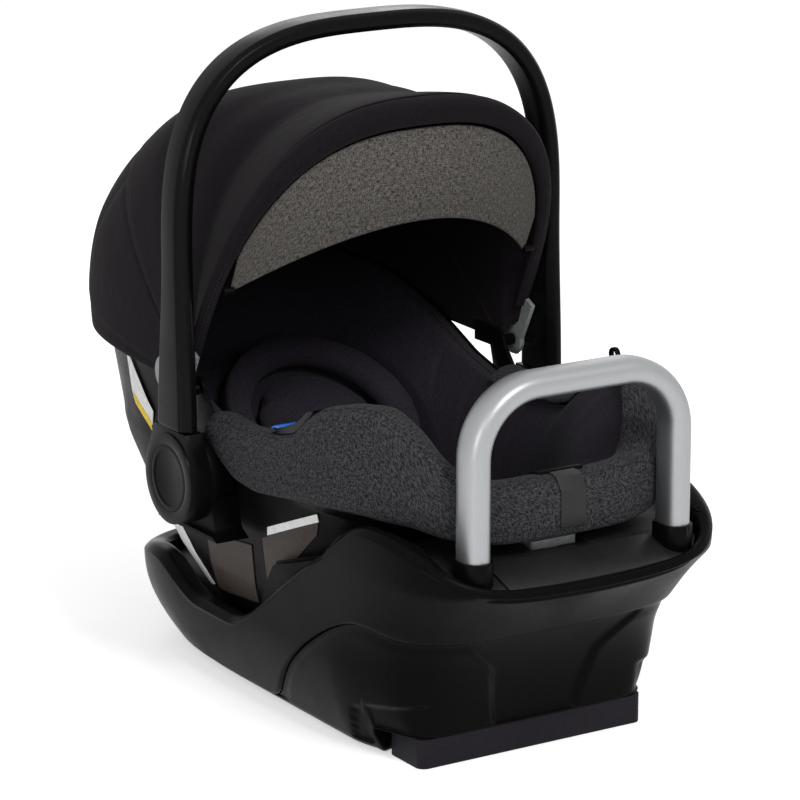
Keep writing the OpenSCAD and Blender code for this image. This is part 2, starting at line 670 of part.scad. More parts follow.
// The cover runs round the foot end, from beside one hub to beside the other
cover_path = [for (i = [n_shell/2 + 1:n_shell - 1]) shell_point(shell_st[i], 306)];
cover_last = len(cover_path) - 1;
cover_ends = concat([2*cover_path[0] - cover_path[1]], cover_path,
    [2*cover_path[cover_last] - cover_path[cover_last - 1]]);
// Lower hem of the cover, at station y
hem_form = [[-364, 219], [-340, 224], [-300, 241], [-239, 244], [-159, 235], [-89, 226], [-50, 230], [-36, 240]];
module rim_cover() {
    color("#37363a") sweep([for (i = [0:cover_last]) let (
        p = cover_path[i], t = cover_ends[i + 2] - cover_ends[i], l = norm([t[0], t[1]]),
        u = [t[1], -t[0], 0]/l, e = lookup(p[1], edge_form), b = lookup(p[1], hem_form),
        c = cover_t, r = e - edge_drop + 1,
        form = [[1, r], [-28, r], [-27, e - 9], [-18, e - 3], [-5, e], [7, e - 2.5],
            [c - 1, e - 12], [c, mix(b, e, 0.4)], [c*0.55, b - 1], [1, b]])
        [for (f = form) [p[0] + f[0]*u[0], p[1] + f[0]*u[1], f[1]]]]);
}
// Belt guide in the dip of the rim, a saddle with a raised foot-end horn
guide_x = [152, 172];
function edge_z(y) = lookup(y, edge_form);
module belt_guide(side) {
    ys = [-186, -174, -162, -150, -138, -124, -112];
    hs = [3, 8, 9, 9, 8, 6, 2.5];
    color("#0f0f10") at_side(side) profile_x(guide_x[0], guide_x[1])
        polygon(concat([for (k = [0:6]) [ys[k], edge_z(ys[k]) + 1]],
            [for (k = [6:-1:0]) [ys[k], edge_z(ys[k]) + 1 + hs[k]]]));
}
module belt_guide_left() { belt_guide(-1); }
module belt_guide_right() { belt_guide(1); }
module guide_marks() {
    y = -118;
    color("#2f6fd0") for (s = [-1, 1]) at_side(s) profile_x(guide_x[0] - 3, guide_x[1] + 1)
        polygon([for (v = [[-8, 7.5], [0, 6.5], [6, 3.5], [6, 5.5], [0, 8.6], [-8, 9.6]])
            [y + v[0], edge_z(y) + 1.2 + v[1]]]);
}
// Tail of the harness adjuster over the foot end, with its slot trim and button
module adjuster_strap() {
    color("#17161a") strap([for (v = [[-3.4, 2.7], [1.5, 2.4], [8.5, 0.2], [16.8, -10.5], [17.4, -33], [16.6, -46]])
        [0, form_foot() - v[0], edge_z(form_foot()) + v[1]]], 28);
}
function form_foot() = lookup(306, form_yf);
module adjuster_slot() {
    color("#131215") translate([0, form_foot() + 12, edge_z(form_foot()) - 1.1])
        rotate([-13, 0, 0]) slab(52, 16, 3.2, 4);
}
module rim_clip() {
    color("#101011") translate([162, -196, edge_z(-196) + 7.4]) rotate([0, 90, 0]) difference() {
        cylinder(r = 7, h = 5, center = true);
        cylinder(r = 4, h = 8, center = true);
    }
}

// ---------------------------------------------------------------- handle and hubs

hub_t = 23.5;
hub_x1 = hub_span/2;
hub_x0 = hub_x1 - hub_t;
pin_r = 14;
pin_l = 18;
neck_z = hub_z + 49;
recess_t = 12;
button_t = 6;
stem_r = 6;
wall_x = shell_half_w + 0.6;

// Height over the hub axis up to which the housing's inner boss meets the shell
seat_rise_z = 8;
module hub_housing(side) {
    x1 = hub_x0 - seat_gap;
    seat_x = shell_half_w*lookup(hub_z + seat_rise_z, form_w) + seat_gap;
    color("#19181a") at_side(side) difference() {
        union() {
            translate([0, 0, hub_z]) rod_x(wall_x, x1, 38);
            translate([0, 0, hub_z]) rod_x(x1 - 7, x1, hub_r - 1);
            profile_x(wall_x - 5, x1 - 2) polygon([[-36, hub_z - 14], [-44, hub_z - 46],
                [-50, hub_z - 50], [50, hub_z - 50], [44, hub_z - 46], [36, hub_z - 14]]);
            translate([wall_x, -6, hub_z - 46]) cube([x1 - wall_x + 2, 12, 30]);
            translate([seat_x, -20, hub_z - 30]) cube([wall_x - seat_x + 1, 40, 30 + seat_rise_z]);
            profile_x(wall_x - 5, x1 + 4) polygon([[-50, hub_z - 50], [-58, hub_z - 54],
                [58, hub_z - 54], [50, hub_z - 50]]);
        }
        translate([0, 0, hub_z]) rod_x(x1 - pin_l - 3, x1 + 1, pin_r + run_gap);
        translate([0, 0, hub_z]) rod_x(x1, x1 + 20, hub_r + 2);
    }
}
module hub_housing_left() { hub_housing(-1); }
module hub_housing_right() { hub_housing(1); }

module handle_hub(side) {
    floor_x = hub_x1 - recess_t;
    color("#1b1a1c") at_side(side) difference() {
        union() {
            translate([0, 0, hub_z]) rod_x(hub_x0, hub_x1, hub_r);
            profile_x(hub_x0 + 2, hub_x1 - 2) polygon([[-hub_r + 2, hub_z + 14], [hub_r - 2, hub_z + 14],
                [31, neck_z], [-31, neck_z]]);
            translate([0, 0, hub_z]) rod_x(hub_x0 - pin_l, hub_x0 + 1, pin_r);
        }
        translate([0, 0, hub_z]) rod_x(floor_x, hub_x1 + 1, button_r + 0.4);
        translate([0, 0, hub_z]) rod_x(hub_x0 - 4, floor_x + 1, stem_r + run_gap);
    }
}
module handle_hub_left() { handle_hub(-1); }
module handle_hub_right() { handle_hub(1); }
// Round button in the hub, on a stem that guides it
module hub_button(side) {
    x1 = hub_x1;
    color("#121214") at_side(side) translate([0, 0, hub_z]) union() {
        difference() {
            rod_x(x1 - button_t, x1, button_r);
            rod_x(x1 - 0.8, x1 + 1, button_r - 5);
        }
        rod_x(hub_x0 + 4, x1 - button_t + 1, stem_r);
    }
}
module hub_button_left() { hub_button(-1); }
module hub_button_right() { hub_button(1); }
module button_springs() {
    color("#b0b2b5") for (s = [-1, 1]) at_side(s) translate([hub_x1 - recess_t, 0, hub_z])
        rotate([0, 90, 0]) rotate_extrude() translate([11, 0.9]) circle(0.8, $fn = 24);
}

// Handle bar: straight legs, then a superelliptic arch, deeper towards the hubs
handle_x = hub_x1 - 1.5 - handle_t/2;
arch_z = 436;
arch_h = handle_top_z - handle_t/2 - arch_z;
arch_n = 3;
handle_half = concat([for (z = [neck_z, 300, 335, 370, 403]) [handle_x, z]],
    [for (a = [0:7.5:90]) [handle_x*pow(cos(a), 2/arch_n), arch_z + arch_h*pow(sin(a), 2/arch_n)]]);
n_arm = len(handle_half);
handle_path = concat(handle_half,
    [for (i = [n_arm - 2:-1:0]) [-handle_half[i][0], handle_half[i][1]]]);
module handle_bar() {
    n = len(handle_path);
    color("#1b1a1c") sweep([for (i = [0:n - 1]) let (
        p = handle_path[i],
        t = i == 0 ? [0, 1] : i == n - 1 ? [0, -1] : handle_path[i + 1] - handle_path[i - 1],
        u = [t[1], -t[0]]/norm(t), e = ease((p[1] - neck_z)/170),
        d = mix(60, grip_d, e)/2, h = handle_t/2, y0 = mix(0, -4, e))
        [for (f = [[1, -0.45], [1, 0.45], [0.72, 0.8], [0.3, 1], [-0.3, 1], [-0.8, 0.85], [-1, 0.55],
            [-1, -0.55], [-0.8, -0.85], [-0.3, -1], [0.3, -1], [0.72, -0.8]])
            [p[0] + f[0]*h*u[0], y0 + f[1]*d, p[1] + f[0]*h*u[1]]]]);
}

// ---------------------------------------------------------------- canopy

pivot_r = 6;
rear_half_w = canopy_half_w - 10;
hoop_half_w = canopy_half_w + 6;
mount_x = [shell_half_w + 1.2, rear_half_w - canopy_t - seat_gap];
hub_plate_x = [rear_half_w + 11.5, hoop_half_w];
mount_arm = 40;
// Bracket that stands on the hub housing. It carries the canopy's pivot pin, and its arm the dome's side
module canopy_mount(side) {
    color("#232226") at_side(side) {
        profile_x(mount_x[0], mount_x[1]) union() {
            polygon([[-22, hub_z + 38 + seat_gap], [26, hub_z + 38 + seat_gap], [canopy_y + 13, canopy_z], [canopy_y - 13, canopy_z]]);
            translate([canopy_y, canopy_z]) circle(13);
            translate([canopy_y, canopy_z - 6]) square([mount_arm, 20]);
        }
        translate([0, canopy_y, canopy_z]) rod_x(mount_x[0] + 1, hoop_half_w + 1, pivot_r);
    }
}
module canopy_mount_left() { canopy_mount(-1); }
module canopy_mount_right() { canopy_mount(1); }
module canopy_hub(side) {
    color("#8d918f") at_side(side) difference() {
        profile_x(hub_plate_x[0], hub_plate_x[1]) translate([canopy_y, canopy_z]) union() {
            circle(15);
            translate([30, 12]) circle(17);
            polygon([[-6, -15], [34, -5], [24, 28], [-4, 15]]);
            rotate(hoop_lean) translate([-12, 0]) square([24, hoop_foot - seat_gap]);
        }
        translate([0, canopy_y, canopy_z]) rod_x(hub_plate_x[0] - 1, hub_plate_x[1] + 1, pivot_r + run_gap);
    }
}
module canopy_hub_left() { canopy_hub(-1); }
module canopy_hub_right() { canopy_hub(1); }

// Point at angle a behind upright and radius r about the canopy's pivots
function about_pivot(x, a, r) = [x, canopy_y + r*sin(a), canopy_z + r*cos(a)];
// Arch across the width: half width w, foot radius r0, crown radius r1, exponent n
function arch(w, r0, r1, n, a, steps) = [for (k = [0:steps]) let (q = 180*k/steps, c = cos(q), s = sin(q))
    about_pivot(w*sign(c)*pow(abs(c), 2/n), a, r0 + (r1 - r0)*pow(max(0, s), 2/n))];
rear_form = [[-6, -2], [10, 1], [30, 7], [45, 12], [57, 29], [67, 50], [74, 62], [83, 60], [89, 46]];
rear_n = [[-6, 3.8], [30, 3.9], [67, 3.5], [89, 3.3]];
rear_low = 24;
// Fabric dome behind the hoop, between two angles about the pivots
module dome(angles) {
    color("#1d181c") sheet([for (a = rev(angles)) let (
        r = canopy_r + lookup(a, rear_form), n = lookup(a, rear_n))
        concat(arch(rear_half_w, rear_low, r, n, a, 18),
            rev(arch(rear_half_w - canopy_t, rear_low, r - canopy_t, n, a, 18)))]);
}
// The folding part of the dome ends where the hoop comes to rest, and the back part stays
dome_seam = 46;
module canopy_rear() { dome([-6, 0, 8, 16, 24, 32, 39, dome_seam - 0.1]); }
module canopy_back() { dome([dome_seam, 54, 60, 66, 71, 76, 81, 85, 89]); }
hoop_n = 3.6;
hoop_band = 24;
hoop_foot = 52;
hoop_steps = 24;
function hoop_arch(w, r, a) = arch(w, hoop_foot, r, hoop_n, a, hoop_steps);
module canopy_hoop() {
    a = -hoop_lean;
    side_t = hoop_half_w - rear_half_w - 1.5;
    e = 2.2;
    rings = [hoop_arch(hoop_half_w - 2, hoop_r - 4, a - e*0.7), hoop_arch(hoop_half_w, hoop_r, a),
        hoop_arch(hoop_half_w - 2, hoop_r - 3, a + e), hoop_arch(hoop_half_w - side_t + 2, hoop_r - hoop_band, a + e),
        hoop_arch(hoop_half_w - side_t, hoop_r - hoop_band, a),
        hoop_arch(hoop_half_w - side_t + 1, hoop_r - hoop_band + 2, a - e*0.7)];
    color("#1a161b") {
        sweep([for (k = [0:hoop_steps]) [for (j = [0:5]) rings[j][k]]]);
        for (s = [-1, 1]) at_side(s) translate([0, visor_y, visor_z])
            rod_x(visor_half - 3, hoop_half_w - side_t + 3, visor_pin_r);
    }
}
module canopy_front() {
    color("#1d181c") sheet([for (k = [5:-1:0]) let (
        a = mix(-hoop_lean + 2.8, -6.8, k/5), r = mix(hoop_r - 5, canopy_r + 8, ease(k/5)),
        w = mix(hoop_half_w - 3, rear_half_w + 5.5, ease(k/5)),
        n = mix(hoop_n, lookup(a, rear_n), k/5))
        concat(arch(w, hoop_foot + 10, r, n, a, 18), rev(arch(w - 3, hoop_foot + 10, r - 3, n, a, 18)))]);
}
// Visor: a crescent that hangs inside the hoop and turns about its two ends
visor_y = -32;
visor_z = 408;
visor_half = 172;
visor_pin_r = 4;
module visor() {
    half = visor_half - ear_t - seat_gap;
    d = [0, 3.2, -1.6];
    color("#454348") sweep([for (k = [-12:12]) let (
        x = -half*sin(k*7.5), q = 1 - pow(x/half, 2),
        lo = [x, visor_y - 76*q + 3*(1 - q), visor_z + 62*q - 3*(1 - q)],
        reach = pow(1 - pow(abs(x)/(rear_half_w - 1), hoop_n), 1/hoop_n),
        top = about_pivot(x, -hoop_lean - 1.5, hoop_foot + (hoop_r - hoop_band - 7 - hoop_foot)*reach),
        mid = mix(lo, top, 0.5) + [0, -9*q, 6*q],
        hi = mix(lo, top, 0.97))
        [lo, mid, hi, hi + d, mid + d, lo + [0, 3.2, 0]]]);
}
// Ears at the visor's ends, on the hoop's pins
ear_t = 3;
module visor_ears() {
    color("#2b292d") for (s = [-1, 1]) at_side(s)
        profile_x(visor_half - ear_t, visor_half) translate([visor_y, visor_z]) difference() {
            union() {
                circle(visor_pin_r + 4);
                rotate(hoop_lean) translate([-6, 0]) square([12, 40]);
            }
            circle(visor_pin_r + run_gap);
        }
}

// ---------------------------------------------------------------- carrier release

back_z = 262;
// The shell's back is straight from its last level to the rim, and leans by back_tilt
back_low = shell_levels[len(shell_levels) - 1];
back_top = shell_rim_zs[n_shell/4];
function back_y(z) = mix(lookup(back_low, form_yh), lookup(back_top, form_yh), (z - back_low)/(back_top - back_low));
back_tilt = atan((back_y(back_top) - back_y(back_low))/(back_top - back_low));
lever_w = 104;
lever_l = 46;
lever_pivot = 11;
ear_x = lever_w/2 + 5;
module on_shell_back() {
    translate([0, back_y(back_z), back_z]) rotate([-back_tilt, 0, 0]) translate([0, seat_gap, 0]) children();
}
// Bracket on the back of the shell, with two ears for the lever's pin
module release_bracket() {
    color("#161517") on_shell_back() {
        difference() {
            translate([-ear_x - 5, 0, -14]) cube([2*ear_x + 10, 3, 28]);
            translate([0, 0, -5]) rotate([-90, 0, 0]) slab(lever_w - 20, 8, 3.2, 2);
        }
        for (s = [-1, 1]) translate([s*ear_x, 0, 0]) difference() {
            union() {
                translate([-3, 2, -8]) cube([6, lever_pivot - 2, 16]);
                translate([0, lever_pivot, 0]) rod_x(-3, 3, 8);
            }
            translate([0, lever_pivot, 0]) rod_x(-4, 4, 3 + run_gap);
        }
    }
}
module release_pin() {
    color("#a9abad") on_shell_back() translate([0, lever_pivot, 0]) rod_x(-ear_x - 4, ear_x + 4, 3);
}
module release_lever() {
    color("#202023") on_shell_back() translate([0, lever_pivot, 0]) difference() {
        union() {
            rod_x(-lever_w/2, lever_w/2, 7);
            translate([0, 0, -lever_l/2]) cube([lever_w, 6, lever_l], center = true);
            translate([0, 0, -lever_l]) rod_x(-lever_w/2, lever_w/2, 5.5);
        }
        rod_x(-lever_w, lever_w, 3 + run_gap);
    }
}

base_lower();
base_upper();
base_tray();
front_deck();
deck_panel();
deck_screws();
latch_bars();
rebound_bar();
bar_collar_left();
bar_collar_right();
recline_foot();
foot_guides();
recline_tab();
carrier_shell();
latch_rails();
hub_housing_left();
hub_housing_right();
seat_foam();
seat_liner();
seat_insert();
head_pad_ring();
head_pillow();
harness_left();
harness_right();
shoulder_pad_left();
shoulder_pad_right();
chest_clip();
buckle();
buckle_button();
crotch_strap();
crotch_pad();
rim_cover();
belt_guide_left();
belt_guide_right();
guide_marks();
adjuster_strap();
adjuster_slot();
rim_clip();
release_bracket();
release_pin();
release_lever();
canopy_mount_left();
canopy_mount_right();
canopy_rear();
canopy_back();
canopy_hub_left();
canopy_hub_right();
canopy_hoop();
canopy_front();
visor();
visor_ears();
handle_bar();
handle_hub_left();
handle_hub_right();
hub_button_left();
hub_button_right();
button_springs();
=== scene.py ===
"""Infant car seat: dressed model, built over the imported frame. The baby carrier with its handle and canopy
stands on a vehicle base with an anti-rebound bar. Lengths in the shape functions are millimetres."""
import json
import math

import bmesh
import bpy
import numpy as np
from bpy.props import FloatProperty, FloatVectorProperty, PointerProperty
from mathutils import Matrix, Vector


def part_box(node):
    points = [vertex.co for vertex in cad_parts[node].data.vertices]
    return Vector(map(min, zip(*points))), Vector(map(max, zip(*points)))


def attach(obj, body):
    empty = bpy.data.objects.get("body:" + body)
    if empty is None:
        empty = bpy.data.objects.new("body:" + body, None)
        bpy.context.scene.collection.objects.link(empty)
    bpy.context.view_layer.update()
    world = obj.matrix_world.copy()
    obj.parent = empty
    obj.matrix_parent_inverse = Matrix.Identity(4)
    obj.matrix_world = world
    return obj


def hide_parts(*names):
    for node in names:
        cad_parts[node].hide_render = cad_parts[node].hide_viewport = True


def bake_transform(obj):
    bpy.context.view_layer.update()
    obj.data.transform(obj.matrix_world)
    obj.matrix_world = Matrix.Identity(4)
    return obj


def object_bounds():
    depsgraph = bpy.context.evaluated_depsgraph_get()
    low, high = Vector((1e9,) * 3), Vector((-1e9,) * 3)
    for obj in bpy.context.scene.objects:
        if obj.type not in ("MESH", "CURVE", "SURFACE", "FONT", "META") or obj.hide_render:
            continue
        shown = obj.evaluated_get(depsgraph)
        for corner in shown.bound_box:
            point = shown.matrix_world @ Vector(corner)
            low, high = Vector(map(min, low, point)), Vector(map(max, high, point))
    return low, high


bl_info = {
    "name": "Infant Car Seat",
    "version": (1, 0, 0),
    "blender": (4, 5, 0),
    "location": "View3D > Sidebar > Car Seat",
    "description": "Shells, cloth, handle and stage of an infant car seat on its vehicle base",
    "category": "Object",
}

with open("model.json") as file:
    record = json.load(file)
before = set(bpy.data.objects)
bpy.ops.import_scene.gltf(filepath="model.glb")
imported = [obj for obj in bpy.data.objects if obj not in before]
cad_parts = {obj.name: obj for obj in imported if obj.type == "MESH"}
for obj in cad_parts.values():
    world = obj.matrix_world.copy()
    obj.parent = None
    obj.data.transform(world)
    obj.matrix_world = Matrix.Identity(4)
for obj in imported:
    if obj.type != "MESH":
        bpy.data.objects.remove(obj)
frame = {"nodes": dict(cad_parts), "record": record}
SOLIDS_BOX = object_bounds()
NODES = frame["nodes"]
SLOT_OF = {part["node"]: part["material_slot"] for part in frame["record"]["subparts"]}
MM = 0.001


# ---------------------------------------------------------------- sizes and colours

def colour(name, description, default):
    return FloatVectorProperty(name=name, description=description, default=default, size=3,
                               min=0, max=1, subtype="COLOR")


class CarSeatPlastics(bpy.types.PropertyGroup):
    """Colours of the moulded and metal parts."""
    shell_colour: colour("Shells", "Satin black of the base, shell and handle", (0.0030, 0.0029, 0.0032))
    trim_colour: colour("Trim", "Black of collars, guides, buckle and buttons", (0.0024, 0.0024, 0.0026))
    foot_colour: colour("Recline foot", "Dark grey of the recline foot", (0.0120, 0.0105, 0.0140))
    pale_colour: colour("Pale plastic", "Grey of the release tab and canopy hubs", (0.200, 0.215, 0.212))
    tube_colour: colour("Tube", "Satin silver of the anti-rebound bar", (0.38, 0.39, 0.40))
    grain_depth: FloatProperty(name="Grain", description="Depth of the moulded grain", default=0.00010,
                               min=0, max=0.001, unit="LENGTH", precision=5)


class CarSeatCloth(bpy.types.PropertyGroup):
    """Colours and sewing of the soft goods."""
    canopy_colour: colour("Canopy", "Knit of the canopy", (0.0088, 0.0068, 0.0086))
    lining_colour: colour("Lining", "Knit of the liner and pads", (0.0260, 0.0225, 0.0310))
    heather_dark: colour("Cover, dark yarn", "Dark yarn of the rim cover", (0.0130, 0.0130, 0.0145))
    heather_light: colour("Cover, light yarn", "Light yarn of the rim cover", (0.0620, 0.0620, 0.0680))
    visor_dark: colour("Visor, dark yarn", "Dark yarn of the visor", (0.0260, 0.0240, 0.0225))
    visor_light: colour("Visor, light yarn", "Light yarn of the visor", (0.1420, 0.1320, 0.1200))
    seam_depth: FloatProperty(name="Seam depth", description="How far a seam draws the cloth in", default=1.6,
                              min=0, max=4)
    pad_pressure: FloatProperty(name="Pad pressure", description="Pressure that fills the pads", default=4.0,
                                min=0, max=12)
    stitch_pitch: FloatProperty(name="Stitch pitch", description="Millimetres from stitch to stitch",
                                default=4.2, min=2, max=10)


# ---------------------------------------------------------------- shape helpers

def mix(a, b, t):
    """The value a share t of the way from a to b."""
    return a + (b - a)*t


def ease(t):
    """Smooth step: 3 t^2 - 2 t^3, with t held between 0 and 1."""
    t = np.clip(t, 0.0, 1.0)
    return t*t*(3 - 2*t)


def wave(t):
    """Half a sine wave as t goes from 0 to 1."""
    return np.sin(np.pi*np.clip(t, 0.0, 1.0))


def table(x, rows, soften=0.0):
    """Straight lines through the rows (x, value). With soften, each value is the mean over x - soften to x +
    soften, which rounds the corners of the line."""
    rows = np.asarray(rows, float)
    if not soften:
        return np.interp(x, rows[:, 0], rows[:, 1])
    steps = np.linspace(-soften, soften, 9)
    return np.mean([np.interp(x + s, rows[:, 0], rows[:, 1]) for s in steps], axis=0)


def bell(x, at, width):
    """A smooth bump of height 1 at a place, which has died away about two widths from it."""
    return np.exp(-((x - at)/width)**2)


def signed_power(c, power):
    """The size of c to a power, with the sign of c."""
    return np.sign(c)*np.abs(c)**power


def distance_along(points):
    """How far along a polyline each of its points lies."""
    return np.concatenate([[0], np.cumsum(np.linalg.norm(np.diff(points, axis=0), axis=1))])


def resample(points, count):
    """count points an equal distance apart along a polyline, its ends kept."""
    points = np.asarray(points, float)
    run = distance_along(points)
    at = np.linspace(0, run[-1], count)
    return np.stack([np.interp(at, run, points[:, k]) for k in range(points.shape[1])], axis=1)


def stations(n_head, n_foot, half, aspect=1.9):
    """Plan outline |x|^n + |y|^n = 1, with one exponent on the head side and one on the foot side, as 2*half
    points evenly spaced on each side, counter-clockwise from x = +1."""
    a = np.linspace(0, np.pi, 2001)
    sides = []
    for n, sign in ((n_head, 1), (n_foot, -1)):
        c, s = np.cos(a)*sign, np.sin(a)*sign
        line = np.stack([signed_power(c, 2/n), signed_power(s, 2/n)*aspect], axis=1)
        line = resample(line, half + 1)[:-1]
        sides.append(line/[1, aspect])
    return np.concatenate(sides)


def grow(ring, d):
    """A ring moved outwards in plan by d: along (dy, -dx) of its tangent."""
    t = np.roll(ring, -1, axis=0) - np.roll(ring, 1, axis=0)
    size = np.maximum(np.hypot(t[:, 0], t[:, 1]), 1e-9)
    out = ring.copy()
    out[:, 0] += d*t[:, 1]/size
    out[:, 1] -= d*t[:, 0]/size
    return out


def raised(ring, z):
    """A copy of the ring at height z."""
    out = ring.copy()
    out[:, 2] = z
    return out


def to_line(ring):
    """The ring folded on to its centre line, which closes a tub with a strip across it."""
    out = ring.copy()
    out[:, 0] = 0
    return out


def catmull_rom(a, b, c, d, per_side):
    """per_side points from b towards c for each row of four neighbours a, b, c, d of a Catmull-Rom curve."""
    t = (np.arange(per_side)/per_side)[None, :, None]
    a, b, c, d = (v[:, None, :] for v in (a, b, c, d))
    out = 0.5*(2*b + (c - a)*t + (2*a - 5*b + 4*c - d)*t**2 + (3*b - a - 3*c + d)*t**3)
    return out.reshape(-1, out.shape[-1])


def smooth_loop(points, per_side):
    """Closed curve through the points, with per_side points between each pair."""
    p = np.asarray(points, float)
    return catmull_rom(np.roll(p, 1, 0), p, np.roll(p, -1, 0), np.roll(p, -2, 0), per_side)


def smooth_open(points, per_side=12):
    """Open curve through the points, with per_side points between each pair."""
    p = np.asarray(points, float)
    p = np.concatenate([[2*p[0] - p[1]], p, [2*p[-1] - p[-2]]])
    return np.concatenate([catmull_rom(p[:-3], p[1:-2], p[2:-1], p[3:], per_side), p[-2:-1]])


def clean_up(mesh, dist, thin=0.0):
    """Merges points that lie together, drops slivers thinner than thin, and turns the faces outwards."""
    work = bmesh.new()
    work.from_mesh(mesh)
    bmesh.ops.remove_doubles(work, verts=work.verts, dist=dist)
    if thin:
        bmesh.ops.dissolve_degenerate(work, edges=work.edges, dist=thin)
    bmesh.ops.recalc_face_normals(work, faces=work.faces)
    work.to_mesh(mesh)
    work.free()


def smooth_faces(mesh):
    mesh.polygons.foreach_set("use_smooth", np.ones(len(mesh.polygons), bool))


def mesh_piece(name, points, faces, material, uv=None, fix=True, sharp=None):
    """Mesh object from points in millimetres, with doubles merged and faces turned outwards."""
    mesh = bpy.data.meshes.new(name)
    mesh.from_pydata((np.asarray(points, float)*MM).tolist(), [], faces)
    if uv is not None:
        layer = mesh.uv_layers.new(name="cloth")
        corner = np.empty(len(mesh.loops), int)
        mesh.loops.foreach_get("vertex_index", corner)
        layer.data.foreach_set("uv", (np.asarray(uv, float)[corner]*MM).ravel())
    if fix:
        clean_up(mesh, 2e-5, 1e-6)
    smooth_faces(mesh)
    if sharp:
        mesh.set_sharp_from_angle(angle=math.radians(sharp))
    mesh.update()
    obj = bpy.data.objects.new(name, mesh)
    bpy.context.scene.collection.objects.link(obj)
    if material:
        mesh.materials.append(material)
    return obj


def grid_faces(rows, cols, wrap_rows=False, wrap_cols=False):
    """Quads between neighbouring points of a grid, as a list of four indices each."""
    i = np.arange(rows if wrap_rows else rows - 1)[:, None]
    j = np.arange(cols if wrap_cols else cols - 1)[None, :]
    a = i*cols + j
    b = i*cols + (j + 1) % cols
    c = ((i + 1) % rows)*cols + (j + 1) % cols
    d = ((i + 1) % rows)*cols + j
    return np.stack([a, b, c, d], axis=-1).reshape(-1, 4).tolist()


def grid_piece(name, points, material, wrap_rows=False, wrap_cols=False, **more):
    """Surface over a grid of points (rows, columns, 3). Its UV is the length along the rows and columns."""
    points = np.asarray(points, float)
    rows, cols = points.shape[:2]
    du = np.linalg.norm(np.diff(points, axis=1), axis=2)
    dv = np.linalg.norm(np.diff(points, axis=0), axis=2)
    u = np.concatenate([np.zeros((rows, 1)), np.cumsum(du, axis=1)], axis=1)
    v = np.concatenate([np.zeros((1, cols)), np.cumsum(dv, axis=0)], axis=0)
    u -= u[:, cols//2][:, None]
    uv = np.stack([u, v], axis=-1).reshape(-1, 2)
    faces = grid_faces(rows, cols, wrap_rows, wrap_cols)
    return mesh_piece(name, points.reshape(-1, 3), faces, material, uv=uv, **more)


def tub_piece(name, rings, material, **more):
    """Closed surface through rings from one centre line to another."""
    return grid_piece(name, np.stack(rings), material, wrap_cols=True, **more)


def capped(rings, steps, round_by=0.0):
    """Rings with their ends shrunk on to their own centres, so that a swept bar closes. round_by is the
    length over which each end rounds off, along the line of the bar."""
    rings = np.asarray(rings, float)
    mid = rings.mean(axis=1, keepdims=True)
    first, last = [], []
    for k in range(1, steps + 1):
        share = math.cos(k/steps*math.pi/2)
        push = round_by*math.sin(k/steps*math.pi/2)
        for end, store, other in ((0, first, 1), (-1, last, -2)):
            way = mid[end] - mid[other]
            way = way/max(np.linalg.norm(way), 1e-9)
            store.append(mid[end] + (rings[end] - mid[end])*share + way*push)
    return np.concatenate([np.array(first[::-1]), rings, np.array(last)])


def swept(path, section, normal, cross):
    """Section points (a, b) carried along a path: path + a normal + b cross at each step."""
    return path[:, None, :] + section[..., 0:1]*normal[:, None, :] + section[..., 1:2]*cross[:, None, :]


def swept_upright(line, y, section):
    """Section points (a, b) carried along a line (x, z) that stands across the seat at y: a points outwards
    in the line's own plane, and b towards the head end."""
    way = np.gradient(line, axis=0)
    way /= np.linalg.norm(way, axis=1, keepdims=True)
    level = np.zeros(len(line))
    path = np.stack([line[:, 0], level + y, line[:, 1]], axis=1)
    normal = np.stack([way[:, 1], level, -way[:, 0]], axis=1)
    return swept(path, section, normal, np.tile([0.0, 1.0, 0.0], (len(line), 1)))


def finish_with(obj, subdivide, thickness=0.0, offset=-1.0):
    """Adds live modifiers, each with the same level in the viewport and the render."""
    if thickness:
        m = obj.modifiers.new("Thickness", "SOLIDIFY")
        m.thickness, m.offset, m.use_even_offset = thickness*MM, offset, False
    if subdivide:
        m = obj.modifiers.new("Subdivision", "SUBSURF")
        m.levels = m.render_levels = subdivide
    return obj


def place(obj, body, slot_name, *nodes):
    """Hides the solids that the piece stands for, and lets it ride on its body. The slot name is not used."""
    if nodes:
        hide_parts(*nodes)
    if body:
        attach(obj, body)
    return obj


def stitches(name, path, normal, material, pitch, radius=0.45, length=2.6, lift=0.25):
    """Row of short stitches: at each pitch along the path lies a bead, a rounded rod of 6 sides and 4
    rings."""
    run = distance_along(path)
    at = np.arange(pitch/2, run[-1], pitch)
    pick = lambda values, s: np.stack([np.interp(s, run, values[:, k]) for k in range(3)], axis=1)
    mid, up = pick(path, at), pick(normal, at)
    way = pick(path, at + 0.5) - pick(path, at - 0.5)
    way /= np.maximum(np.linalg.norm(way, axis=1, keepdims=True), 1e-9)
    up /= np.maximum(np.linalg.norm(up, axis=1, keepdims=True), 1e-9)
    side = np.cross(way, up)
    ends = np.array([-0.5, -0.3, 0.3, 0.5])*length
    fat = np.array([0.35, 1.0, 1.0, 0.35])*radius
    turn = np.arange(6)/6*2*np.pi
    pts = (mid[:, None, None, :] + up[:, None, None, :]*lift + way[:, None, None, :]*ends[None, :, None, None]
           + fat[None, :, None, None]*(np.cos(turn)[None, None, :, None]*side[:, None, None, :]
                                       + np.sin(turn)[None, None, :, None]*up[:, None, None, :]))
    n = len(at)
    one = grid_faces(4, 6, wrap_cols=True)
    one += [[5, 4, 3, 2, 1, 0], [18, 19, 20, 21, 22, 23]]
    faces = [[v + k*24 for v in f] for k in range(n) for f in one]
    return mesh_piece(name, pts.reshape(-1, 3), faces, material)


# ---------------------------------------------------------------- materials

